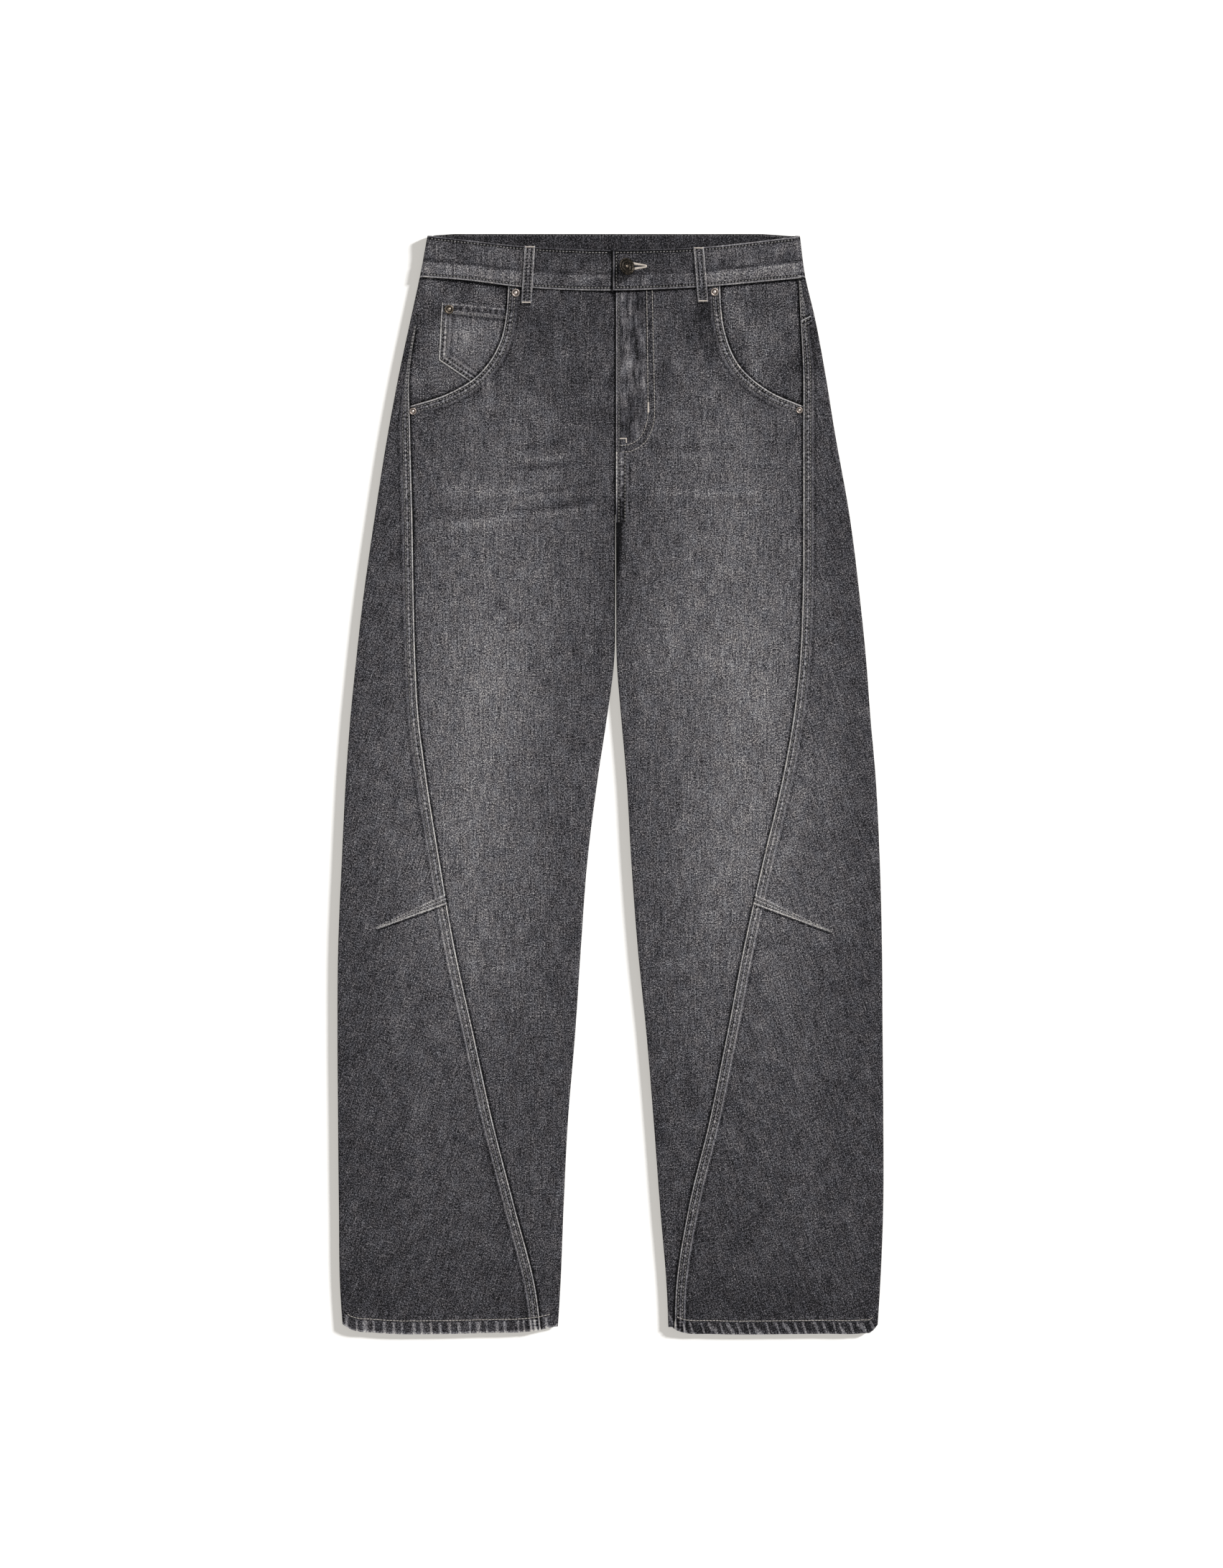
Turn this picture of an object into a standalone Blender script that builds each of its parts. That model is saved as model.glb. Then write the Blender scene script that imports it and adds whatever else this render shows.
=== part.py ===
"""Barrel leg jeans laid flat on a table, front up.

The waist points to +Y and the front faces +Z. Left and right are the wearer's, so the right leg
lies at -X. The garment is two flattened tubes of denim under one waistband. Each leg is a closed
line round a section: the back panel starts at the swept seam on the front, turns round the outer
fold, runs flat on the table and turns up to the inseam, where the front panel takes over and runs
back to the swept seam. Every panel is a stretch of that line, given a wall. Sizes are millimetres.
"""

import bpy
import bmesh
import numpy as np
from math import cos, pi, radians, sin
from mathutils import Matrix, Vector

MM = 0.001

# Cloth walls, and the clearance between two pieces
DENIM = 1.3
HEM_WALL = 2.1
BAND_WALL = 2.6
POCKET_WALL = 1.0
LOOP_WALL = 1.6
GAP = 0.3

# How high the upper layer lies, from the hem to the waist: up the body, height
LAY = [(-520.0, 5.0), (-300.0, 5.3), (-100.0, 5.7), (250.0, 5.5), (526.0, 5.7)]
CROWN = 0.8
CROWN_FADES = (300.0, 470.0)
CROWN_STARTS = (-526.0, -440.0)
FOLD_REACH = 4.0

# Raised seams: what the turned edges add, the width of the double row, and the slope beside it
SEAM_LIFT = 0.6
SEAM_WIDTH = 8.0
SEAM_SLOPE = 1.6

# One row for each section: height up the body, outer fold, swept seam, inner fold
RIGHT_LEG = [
    (526.0, -174.6, -168.6, 4.6),
    (486.0, -182.1, -176.1, 4.6),
    (448.0, -190.3, -184.5, 4.6),
    (393.0, -202.0, -193.0, 4.6),
    (338.0, -212.3, -192.4, 4.6),
    (256.0, -225.3, -190.3, 4.6),
    (173.0, -237.0, -188.9, 4.6),
    (118.0, -243.2, -187.4, 3.6),
    (63.0, -248.7, -184.3, -3.4),
    (8.0, -252.8, -177.2, -11.7),
    (-74.0, -256.9, -164.2, -22.0),
    (-157.0, -260.4, -149.8, -28.2),
    (-239.0, -261.0, -131.9, -33.7),
    (-321.0, -260.5, -114.0, -40.5),
    (-404.0, -259.7, -92.7, -44.7),
    (-486.0, -258.3, -72.1, -48.1),
    (-526.0, -255.5, -67.0, -50.6),
]
LEFT_LEG = [
    (526.0, 181.0, 174.9, 5.4),
    (486.0, 186.2, 180.1, 5.4),
    (448.0, 195.1, 182.1, 5.4),
    (393.0, 205.4, 184.8, 5.4),
    (338.0, 214.3, 184.8, 5.4),
    (256.0, 228.8, 184.8, 5.4),
    (173.0, 239.1, 184.1, 5.4),
    (118.0, 244.6, 181.6, 6.0),
    (63.0, 248.7, 175.4, 10.3),
    (8.0, 253.5, 165.6, 15.1),
    (-74.0, 257.6, 146.3, 19.9),
    (-157.0, 259.7, 127.8, 26.1),
    (-239.0, 260.3, 111.3, 34.4),
    (-321.0, 261.0, 94.8, 41.2),
    (-404.0, 260.9, 74.9, 47.4),
    (-486.0, 257.6, 62.5, 54.0),
    (-526.0, 255.0, 61.5, 55.5),
]

# Landmarks down the middle: where the back seam runs, the crotch, and where the legs part
MIDDLE_AT_WAIST = 1.5
MIDDLE_AT_CROTCH = 5.0
CROTCH = 252.0
LEGS_PART = 200.0
CROTCH_TURN = 12.0
CROTCH_TURN_FADES = (177.0, 245.0)

# The fly: the left front's edge, the right front's lap under it, and the J of the stitching
FLY_EDGE = 5.5
FLY_LAP = 7.0
FLY_WIDTH = 36.5
FLY_LIFT = 1.9
FLY_SLOPE = 12.0
J_CURVE_TOP = 358.0
J_CURVE_END = 317.0
LAP_END = 257.0
LAP_RUN_OUT = 8.0

# Points along each pocket mouth, from the waistband to the swept seam: across, up
RIGHT_SCOOP = [(-97.6, 477.2), (-99.8, 448.0), (-103.9, 427.0), (-115.8, 403.3), (-127.8, 389.7),
               (-154.6, 373.4), (-192.4, 361.0)]
LEFT_SCOOP = [(104.8, 477.6), (105.6, 458.4), (108.7, 434.7), (124.3, 398.5), (137.1, 385.8),
              (152.9, 374.8), (184.5, 361.0)]

# Pockets: rows along the mouth, the fly's height beside its last row, and the hidden tucks
SCOOP_ROWS = 7
SCOOP_LAST_AT_FLY = 352.0
FACING_TOP = 480.0
FACING_END = 350.0
FACING_TUCK = 15.0
FACING_COLUMNS = 6
SINK_FROM_SEAM = 15.0
SINK_FROM_BAND = 12.0
COIN_TUCK = 6.0
COIN_MOUTH = (0.137, 0.60)
COIN_COLUMNS = 5
COIN_EDGE = [(-160.8, 460.5), (-161.6, 452.5), (-162.9, 429.0), (-164.2, 405.4), (-153.0, 397.8),
             (-142.0, 390.3), (-131.5, 383.1)]

# Lower and upper edge of the front waistband, and its edge along the back: across, up
BAND_LOWER = [(-182.1, 486.0), (-139.5, 483.0), (-85.9, 476.4), (2.7, 472.0), (81.8, 476.5),
              (186.2, 486.0)]
BAND_UPPER = [(-175.0, 524.2), (-139.5, 520.1), (-83.0, 514.0), (2.1, 510.4), (79.0, 512.5),
              (181.4, 523.4)]
BAND_BACK = [(-175.0, 524.2), (-150.0, 526.0), (145.0, 526.0), (181.4, 523.4)]
BAND_BOTTOM = 486.0
BAND_TOP = 524.0
BAND_HEIGHT = 7.2
BAND_TURN = 4.6

# Stations along the waistband; its right end lies under its left one at the fly
BAND_RIGHT_FRONT = (35.0, 5.0, -40.0, -83.0, -112.0, -139.5, -160.0)
BAND_BACK_STATIONS = (-150.0, -75.0, 0.0, 75.0, 145.0)
BAND_LEFT_FRONT = (165.0, 140.0, 110.0, 79.0, 66.0, 58.0, 50.0, 42.0, 25.0, 2.5)
BAND_LAP_RAMP = (42.0, 66.0)

# The bottom edge of the hems: across, up
RIGHT_HEM = [(-256.5, -516.0), (-250.0, -520.5), (-224.6, -524.6), (-167.0, -526.0),
             (-122.0, -524.9), (-68.0, -522.1), (-48.0, -517.3)]
LEFT_HEM = [(55.0, -517.3), (70.8, -522.8), (95.5, -525.6), (170.4, -526.0), (204.0, -525.0),
            (250.0, -521.5), (255.8, -516.0)]
HEM_LINE = -508.0
HEM_ROW = -520.0

# The yoke seam at the outer fold and at the middle of the back, and its rise on the front
YOKE_AT_FOLD = 448.0
YOKE_AT_MIDDLE = 424.0
YOKE_RISE = 0.46
YOKE_SHARES = (0.0, 0.35, 0.7, 1.0)

# The knee dart: where its two edges leave the seam, how they fall, and its length across
DART_UPPER = -106.6
DART_LOWER = -114.9
DART_UPPER_FALL = 0.42
DART_LOWER_FALL = 0.34
DART_LENGTH = {"right": 72.0, "left": 81.0}
DART_LIFT = 0.9
DART_EASES = (-220.0, 0.0)
DART_INNER_ROWS = (DART_UPPER - 1.6, DART_LOWER + 1.3)

# Rows of the panels at the swept seam: above the pocket mouth's end, and below it
UPPER_ROWS = [445.0, 437.0, 435.0, 398.0, 361.0]
LOWER_ROWS = [335.0, 305.0, 280.0, 264.0, 252.0, 238.0, 220.0, 200.0, 176.0, 150.0, 118.0, 80.0,
              40.0, 0.0, -40.0, -75.0, DART_UPPER, *DART_INNER_ROWS, DART_LOWER,
              -140.0, -175.0, -215.0, -255.0, -295.0, -335.0, -375.0, -415.0, -455.0, -488.0,
              HEM_LINE + 1.0, HEM_LINE - 1.0, HEM_ROW]

# Belt loops: the middle of each end, and how far the strip bows up along its length
LOOP_WIDTH = 10.0
LOOP_ENDS = {"right": ((-76.9, 514.3), (-80.4, 458.9)), "left": ((84.2, 513.2), (88.6, 460.3))}
LOOP_STEP_DOWN = (-8.0, -1.0)
LOOP_RISE = [(0.0, 0.0), (0.08, 0.2), (0.3, 0.8), (0.5, 0.7), (0.65, 0.3), (0.72, 0.1), (0.8, 0.1),
             (0.88, 0.1), (1.0, 0.0)]

# Button: place, hole, shank, lean, and the head's rings from its underside: radius, rise
BUTTON = (15.8, 493.9)
BUTTONHOLE = 4.0
BUTTONHOLE_DEPTH = 4.0
BUTTON_SHANK = 3.2
BUTTON_SHANK_HEIGHT = 4.4
BUTTON_LEAN = 24.0
BUTTON_LEAN_AXIS = 20.0
BUTTON_HEAD_HEIGHT = 14.4
BUTTON_SEGMENTS = 24
BUTTON_PROFILE = [(3.4, -0.7), (8.0, -0.6), (8.5, -0.1), (8.3, 0.7), (7.2, 1.0), (6.2, 0.5),
                  (3.8, 0.4), (3.2, 0.8), (2.4, 0.5), (0, 0.6)]

# Rivets: name, side, place, diameter; and their rings: share of the radius, rise
RIVETS = [
    ("rivet_scoop_top_right", "right", (-90.5, 469.4), 8.0),
    ("rivet_scoop_end_right", "right", (-188.7, 356.2), 7.0),
    ("rivet_coin", "right", (-154.2, 453.8), 9.0),
    ("rivet_scoop_top_left", "left", (99.6, 470.2), 8.0),
    ("rivet_scoop_end_left", "left", (180.6, 357.2), 6.5),
]
RIVET_SEGMENTS = 14
RIVET_PROFILE = [(0, 0.0), (1.0, 0.0), (1.0, 0.4), (0.85, 0.9), (0.62, 0.6), (0.45, 1.1), (0, 1.4)]

# Finishes: linear colour, roughness, metallic
DENIM_GREY = ((0.105, 0.101, 0.105), 0.9, 0.0)
FACING_GREY = ((0.090, 0.086, 0.089), 0.9, 0.0)
BAND_GREY = ((0.088, 0.085, 0.086), 0.9, 0.0)
DARK_BRASS = ((0.055, 0.047, 0.038), 0.35, 1.0)
COPPER = ((0.30, 0.20, 0.15), 0.3, 1.0)


def smooth(x, knots, values):
    """Cubic through the points, its slope at each one taken from the neighbours."""
    knots = np.asarray(knots, float)
    values = np.asarray(values, float)
    slopes = np.gradient(values, knots)
    x = np.clip(x, knots[0], knots[-1])
    i = np.clip(np.searchsorted(knots, x, side="right") - 1, 0, len(knots) - 2)
    width = knots[i + 1] - knots[i]
    t = (x - knots[i]) / width
    chord = values[i] + (values[i + 1] - values[i]) * t * t * (3 - 2 * t)
    return chord + width * t * (1 - t) * (slopes[i] * (1 - t) - slopes[i + 1] * t)


def step(x, low, high):
    """0 below low, 1 above high, and an even curve between them."""
    t = np.clip((np.asarray(x, float) - low) / (high - low), 0.0, 1.0)
    return t * t * (3 - 2 * t)


def edge(table, x):
    """Height up the body of an edge that is given by points across it."""
    across, up = np.array(table).T
    return np.interp(x, across, up)


def points(x, y, z):
    """A grid of places from their three grids of numbers."""
    return np.stack(np.broadcast_arrays(x, y, z), axis=-1)


class Side:
    """One half of the garment: where its folds and seam run, and how high it lies."""

    def __init__(self, name, sign, sections, scoop, hem):
        self.name = name
        self.sign = sign
        self.sections = np.array(sections[::-1]).T
        self.scoop = np.array(scoop)
        self.hem = hem

    def outer(self, y):
        """The outer fold."""
        return smooth(y, self.sections[0], self.sections[1])

    def seam(self, y):
        """The swept seam, at the back panel's edge."""
        return smooth(y, self.sections[0], self.sections[2])

    def front_seam(self, y):
        """The swept seam, at the front panel's edge."""
        return self.seam(y) - self.sign * GAP

    def inner(self, y):
        """The inner fold."""
        return smooth(y, self.sections[0], self.sections[3])

    def split(self, y):
        """0 where the two halves are joined, 1 where the legs are tubes of their own."""
        return 1 - step(y, LEGS_PART, CROTCH)

    def height(self, x, y):
        """Outer face of the upper layer: pillowed between the folds, and lifted over the fly."""
        base = edge(LAY, y)
        across = np.clip((x - self.outer(y)) / (self.inner(y) - self.outer(y)), 0, 1)
        pillow = np.sin(pi * across * (0.5 + 0.5 * self.split(y)))
        z = base + CROWN * pillow * (1 - step(y, *CROWN_FADES)) * step(y, *CROWN_STARTS)
        if self.name == "left":
            z = z + self.fly_lift(x, y)
        return z

    def fly_lift(self, x, y):
        """The left front lies on the right one at the fly, in a J, and on its lap below it."""
        wide = FLY_EDGE + FLY_WIDTH
        narrow = FLY_EDGE + FLY_LAP
        reach = narrow + (wide - narrow) * step(y, J_CURVE_END, J_CURVE_TOP)
        return FLY_LIFT * (1 - step(x, reach, reach + FLY_SLOPE)) * step(y, LAP_END - FLY_SLOPE, LAP_END)

    def front_end(self, y):
        """Where the front panel ends in the middle: the right one runs on under the fly."""
        end = self.inner(y)
        if self.name == "right":
            end = end + (FLY_EDGE + FLY_LAP - end) * step(y, LAP_END, LAP_END + LAP_RUN_OUT)
        return end

    def front_turn(self, y):
        """How far from its inner edge the front panel starts to turn under."""
        if self.name == "right":
            return FOLD_REACH + 0 * y
        return FOLD_REACH + (CROTCH_TURN - FOLD_REACH) * step(y, *CROTCH_TURN_FADES)

    def back_end(self, y):
        """The line where the back panels meet, from the middle of the waist to the inner folds."""
        seat = MIDDLE_AT_CROTCH + (MIDDLE_AT_WAIST - MIDDLE_AT_CROTCH) * step(y, CROTCH, BAND_BOTTOM)
        joined = seat + self.sign * GAP / 2
        return joined + (self.inner(y) - joined) * self.split(y)


def wall(y):
    """The cloth's wall: denim, and the turned-up hem below its stitching."""
    return DENIM + (HEM_WALL - DENIM) * (1 - step(y, HEM_LINE - 1, HEM_LINE + 1))


def outer_fold(side, y, angle, depth):
    """Point on the outer fold, angle from 90 degrees on top to -90 underneath."""
    centre = side.outer(y) - side.sign * FOLD_REACH
    half = side.height(centre, y) / 2
    x = centre + side.sign * (FOLD_REACH - depth) * cos(radians(angle))
    return x, half + (half - depth) * sin(radians(angle))


def inner_fold(side, y, angle, depth, end, turn):
    """Point on the inner fold. Above the crotch it is opened out flat along its panel."""
    upper = angle >= 0
    centre = end + side.sign * turn
    top = side.height(centre, y)
    inseam = top / 2 + (GAP / 2 if upper else -GAP / 2)
    reach = top - inseam if upper else inseam
    tube_x = centre - side.sign * (turn - depth) * cos(radians(angle))
    tube_z = inseam + (reach - depth) * sin(radians(angle))
    flat_x = centre - side.sign * turn * cos(radians(angle))
    flat_z = side.height(flat_x, y) - depth if upper else depth
    split = side.split(y)
    return flat_x + (tube_x - flat_x) * split, flat_z + (tube_z - flat_z) * split


def slab(name, outside, inside, finish):
    """A closed wall between two grids of places, given in millimetres."""
    rows, columns = outside.shape[:2]
    bm = bmesh.new()
    out = [[bm.verts.new(Vector(p) * MM) for p in line] for line in outside]
    ins = [[bm.verts.new(Vector(p) * MM) for p in line] for line in inside]
    for r in range(rows - 1):
        for c in range(columns - 1):
            bm.faces.new((out[r][c], out[r][c + 1], out[r + 1][c + 1], out[r + 1][c]))
            bm.faces.new((ins[r][c], ins[r + 1][c], ins[r + 1][c + 1], ins[r][c + 1]))
    rim = [(r, 0) for r in range(rows)] + [(rows - 1, c) for c in range(1, columns)]
    rim += [(r, columns - 1) for r in range(rows - 2, -1, -1)]
    rim += [(0, c) for c in range(columns - 2, 0, -1)]
    for (r0, c0), (r1, c1) in zip(rim, rim[1:] + rim[:1]):
        bm.faces.new((out[r0][c0], out[r1][c1], ins[r1][c1], ins[r0][c0]))
    return place(name, bm, finish)


def place(name, bm, finish):
    """Turn a closed bmesh into an object of its own, with its own material."""
    bmesh.ops.recalc_face_normals(bm, faces=bm.faces)
    mesh = bpy.data.meshes.new(name)
    bm.to_mesh(mesh)
    bm.free()
    mesh.shade_smooth()
    mesh.set_sharp_from_angle(angle=radians(40))
    colour, roughness, metallic = finish
    material = bpy.data.materials.new(name)
    material.use_nodes = True
    shader = material.node_tree.nodes["Principled BSDF"]
    shader.inputs["Base Color"].default_value = (*colour, 1.0)
    shader.inputs["Roughness"].default_value = roughness
    shader.inputs["Metallic"].default_value = metallic
    mesh.materials.append(material)
    made = bpy.data.objects.new(name, mesh)
    bpy.context.collection.objects.link(made)
    return made


def outward_columns(side, guide):
    """Places on the upper layer from the swept seam to the outer fold: distance and lift."""
    width = np.abs(side.outer(guide) - side.sign * FOLD_REACH - side.seam(guide))
    band = np.minimum(SEAM_WIDTH, 0.5 * width)
    foot = np.minimum(SEAM_WIDTH + SEAM_SLOPE, 0.65 * width)
    spare = (width - foot) / 3
    columns = [(0 * width, SEAM_LIFT), (band, SEAM_LIFT), (foot, 0.0)]
    columns += [(foot + spare, 0.0), (foot + 2 * spare, 0.0)]
    return width, columns


def wrapped(side, guide, heights, lift, under_count):
    """Outer and inner places of a panel that runs from the swept seam round to the middle.

    guide is the rough height of each row. heights(part, value, width) gives the true heights down
    a column: value is the distance from the seam on "top" and a share of the way on "under", and
    width is the seam's distance from the fold. lift(part, value) is what stands on the outer face.
    """
    width, top_columns = outward_columns(side, guide)
    outside, inside = [], []
    for distance, raised in top_columns:
        y = heights("top", distance, width)
        x = side.seam(y) + side.sign * distance
        z = side.height(x, y)
        outside.append(points(x, y, z + np.maximum(raised, lift("top", distance))))
        inside.append(points(x, y, z - wall(y)))
    for angle in (90, 45, 0, -45, -90):
        y = heights("fold", angle, width)
        x, z = outer_fold(side, y, angle, 0.0)
        outside.append(points(x, y, z + lift("fold", angle) * max(0.0, sin(radians(angle)))))
        x, z = outer_fold(side, y, angle, wall(y))
        inside.append(points(x, y, z))
    for share in np.arange(1, under_count + 1) / (under_count + 1):
        y = heights("under", share, width)
        start = side.outer(y) - side.sign * FOLD_REACH
        stop = side.back_end(y) + side.sign * FOLD_REACH
        x = start + (stop - start) * share
        outside.append(points(x, y, 0.0))
        inside.append(points(x, y, wall(y)))
    y = heights("under", 1.0, width)
    for angle in (-90, -45, -0.001):
        for depth, grid in ((0.0, outside), (wall(y), inside)):
            x, z = inner_fold(side, y, angle, depth, side.back_end(y), FOLD_REACH)
            grid.append(points(x, y, z))
    return np.stack(outside, axis=1), np.stack(inside, axis=1)


def yoke_line(part, value, width):
    """The yoke seam: it rises to the outer fold and falls again to the middle of the back."""
    if part == "top":
        return YOKE_AT_FOLD - YOKE_RISE * (width - value)
    share = value if part == "under" else 0.0
    return YOKE_AT_FOLD + (YOKE_AT_MIDDLE - YOKE_AT_FOLD) * share + 0 * width


def yoke(side):
    """The back yoke, from under the waistband to the yoke seam."""
    shares = np.array(YOKE_SHARES)
    guide = BAND_BOTTOM + (YOKE_AT_FOLD - BAND_BOTTOM) * shares

    def heights(part, value, width):
        top = BAND_BOTTOM
        if part == "top":
            top = edge(BAND_LOWER, side.seam(guide) + side.sign * value)
        return top - GAP + (yoke_line(part, value, width) - top + GAP) * shares

    def lift(part, value):
        return 0.0

    slab(f"yoke_{side.name}", *wrapped(side, guide, heights, lift, 4), DENIM_GREY)


def dart_fall(rows, reach):
    """How far each row drops, a distance out from the seam, so that rows follow the dart."""
    knots = [DART_EASES[0], DART_LOWER, DART_UPPER, DART_EASES[1]]
    return np.interp(rows, knots, [0.0, DART_LOWER_FALL, DART_UPPER_FALL, 0.0]) * reach


def back(side):
    """The back panel, from the swept seam on the front round the fold to the middle and inseam."""
    length = DART_LENGTH[side.name]
    rows = np.array(UPPER_ROWS + LOWER_ROWS)
    below_yoke = np.array([GAP, GAP + SEAM_WIDTH, GAP + SEAM_WIDTH + SEAM_SLOPE])

    def heights(part, value, width):
        if part == "top":
            y = rows - dart_fall(rows, np.minimum(value, length))
            x = side.seam(y) + side.sign * value
        else:
            share = value if part == "under" else 0.0
            y = rows - dart_fall(rows, length) * (1 - share)
            x = side.outer(y) + (side.back_end(y) - side.outer(y)) * share
        y[:3] = yoke_line(part, value, width)[:3] - below_yoke
        y[-1] = edge(side.hem, x[-1])
        return y

    def lift(part, value):
        stand = np.zeros_like(rows)
        stand[:2] = SEAM_LIFT
        if part == "top":
            taper = np.clip(1 - value / length, 0, 1)
            stand = np.where(np.isin(rows, DART_INNER_ROWS), DART_LIFT * taper, stand)
        return stand

    slab(f"back_{side.name}", *wrapped(side, rows, heights, lift, 2), DENIM_GREY)


def along_scoop(side, shares, inward):
    """Places along the pocket mouth moved inward onto the front panel, and that direction."""
    lengths = np.hypot(*np.diff(side.scoop, axis=0).T)
    knots = np.concatenate([[0.0], np.cumsum(lengths)]) / lengths.sum()

    def at(share):
        return np.stack([smooth(share, knots, side.scoop[:, i]) for i in (0, 1)], axis=-1)

    run = at(shares + 0.01) - at(shares - 0.01)
    run /= np.linalg.norm(run, axis=-1, keepdims=True)
    normal = side.sign * np.stack([run[:, 1], -run[:, 0]], axis=-1)
    return at(shares) + normal * inward, normal


def front(side):
    """The front panel, from the pocket mouth and the swept seam to the fly and the inseam."""
    rows = np.array([y for y in LOWER_ROWS if y not in DART_INNER_ROWS])
    mouth, mouth_normal = along_scoop(side, np.linspace(0, 1, SCOOP_ROWS + 1), 0.0)
    mouth[-1, 0] = side.front_seam(mouth[-1, 1])
    start = np.concatenate([mouth, np.stack([side.front_seam(rows), rows], axis=-1)])
    normal = np.concatenate([mouth_normal, np.tile([-side.sign, 0.0], (len(rows), 1))])
    fly_top = edge(BAND_LOWER, FLY_EDGE) - GAP
    stop_y = np.concatenate([np.linspace(fly_top, SCOOP_LAST_AT_FLY, SCOOP_ROWS + 1), rows])
    stop_x = side.front_end(stop_y) + side.sign * side.front_turn(stop_y)
    stop_y[-1] = edge(side.hem, stop_x[-1])
    stop = np.stack([stop_x, stop_y], axis=-1)

    reach = np.linalg.norm(stop - start, axis=-1)[:, None]
    band = start + normal * np.minimum(SEAM_WIDTH, 0.2 * reach)
    foot = start + normal * np.minimum(SEAM_WIDTH + SEAM_SLOPE, 0.28 * reach)
    length = np.linalg.norm(stop - foot, axis=-1)[:, None]
    back_along = (foot - stop) / length
    fly_foot = stop + back_along * np.minimum(FLY_WIDTH, 0.5 * length)
    fly_side = stop + back_along * np.minimum(FLY_WIDTH - FLY_SLOPE, 0.35 * length)
    flat = [start, band, foot, foot + (fly_foot - foot) / 3, foot + (fly_foot - foot) * 2 / 3,
            fly_foot, fly_side]
    flat = np.stack(flat, axis=1)
    flat[0, :, 1] = edge(BAND_LOWER, flat[0, :, 0]) - GAP
    flat[-1, :, 1] = edge(side.hem, flat[-1, :, 0])

    x, y = flat[..., 0], flat[..., 1]
    z = side.height(x, y)
    raised = np.zeros_like(z)
    raised[:SCOOP_ROWS + 1, :2] = SEAM_LIFT
    outside = [points(x, y, z + raised)]
    inside = [points(x, y, z - wall(y))]
    ends = (side.front_end(stop_y), side.front_turn(stop_y))
    for angle in (90, 45, 0):
        for depth, grid in ((0.0, outside), (wall(stop_y), inside)):
            fold_x, fold_z = inner_fold(side, stop_y, angle, depth, *ends)
            grid.append(points(fold_x, stop_y, fold_z)[:, None])
    slab(f"front_{side.name}", np.concatenate(outside, axis=1), np.concatenate(inside, axis=1),
         DENIM_GREY)


def facing_height(side, x, y):
    """Outer face of the hip facing. It lies deep enough under the front to take the coin pocket."""
    room = POCKET_WALL + GAP if side.name == "right" else 0.0
    from_seam = step(np.abs(x - side.seam(y)), 0.0, SINK_FROM_SEAM)
    from_band = step(edge(BAND_LOWER, x) - y, 0.0, SINK_FROM_BAND)
    return side.height(x, y) - DENIM - GAP - room * from_seam * from_band


def patch(free_edge, tucked_edge, columns):
    """Flat places between a visible edge and the one that is tucked under the front panel."""
    across = np.linspace(0, 1, columns)[None, :, None]
    return free_edge[:, None] * (1 - across) + tucked_edge[:, None] * across


def facing(side):
    """The denim hip facing in the pocket mouth, tucked under the front panel's edge."""
    shares = np.linspace(0, 1, SCOOP_ROWS + 1)
    tucked, _ = along_scoop(side, shares, FACING_TUCK)
    seam_y = FACING_TOP + (FACING_END - FACING_TOP) * shares
    flat = patch(np.stack([side.front_seam(seam_y), seam_y], axis=-1), tucked, FACING_COLUMNS)
    flat[0, :, 1] = edge(BAND_LOWER, flat[0, :, 0]) - GAP
    x, y = flat[..., 0], flat[..., 1]
    z = facing_height(side, x, y)
    slab(f"facing_{side.name}", points(x, y, z), points(x, y, z - POCKET_WALL), FACING_GREY)


def coin_pocket(side):
    """The small patch pocket on the right hip facing, its inner edge under the front panel."""
    tucked, _ = along_scoop(side, np.linspace(*COIN_MOUTH, len(COIN_EDGE)), COIN_TUCK)
    flat = patch(np.array(COIN_EDGE), tucked, COIN_COLUMNS)
    x, y = flat[..., 0], flat[..., 1]
    z = facing_height(side, x, y) + GAP
    slab("coin_pocket", points(x, y, z + POCKET_WALL), points(x, y, z), DENIM_GREY)


def waistband(right, left):
    """One strip all round: right end, right front, right fold, back, left fold, left front."""
    shares = np.array([0.0, 1.0])
    outside, inside = [], []

    def front_station(x, lapped):
        y = edge(BAND_LOWER, x) + (edge(BAND_UPPER, x) - edge(BAND_LOWER, x)) * shares
        z = BAND_HEIGHT + lapped * (BAND_WALL + GAP) * (1 - step(x, *BAND_LAP_RAMP))
        outside.append(points(x, y, z))
        inside.append(points(x, y, z - BAND_WALL))

    def fold_station(side, angle):
        y = BAND_BOTTOM + (BAND_TOP - BAND_BOTTOM) * shares
        centre = side.outer(y) - side.sign * BAND_TURN
        half = BAND_HEIGHT / 2
        for depth, grid in ((0.0, outside), (BAND_WALL, inside)):
            x = centre + side.sign * (BAND_TURN - depth) * cos(radians(angle))
            grid.append(points(x, y, half + (half - depth) * sin(radians(angle))))

    for x in BAND_RIGHT_FRONT:
        front_station(x, 0.0)
    for angle in (90, 45, 0, -45, -90):
        fold_station(right, angle)
    for x in BAND_BACK_STATIONS:
        y = BAND_BOTTOM + (edge(BAND_BACK, x) - BAND_BOTTOM) * shares
        outside.append(points(x, y, 0.0))
        inside.append(points(x, y, BAND_WALL))
    for angle in (-90, -45, 0, 45, 90):
        fold_station(left, angle)
    for x in BAND_LEFT_FRONT:
        front_station(x, 1.0)
    band = slab("waistband", np.stack(outside, axis=1), np.stack(inside, axis=1), BAND_GREY)
    cut_buttonhole(band)


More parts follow.
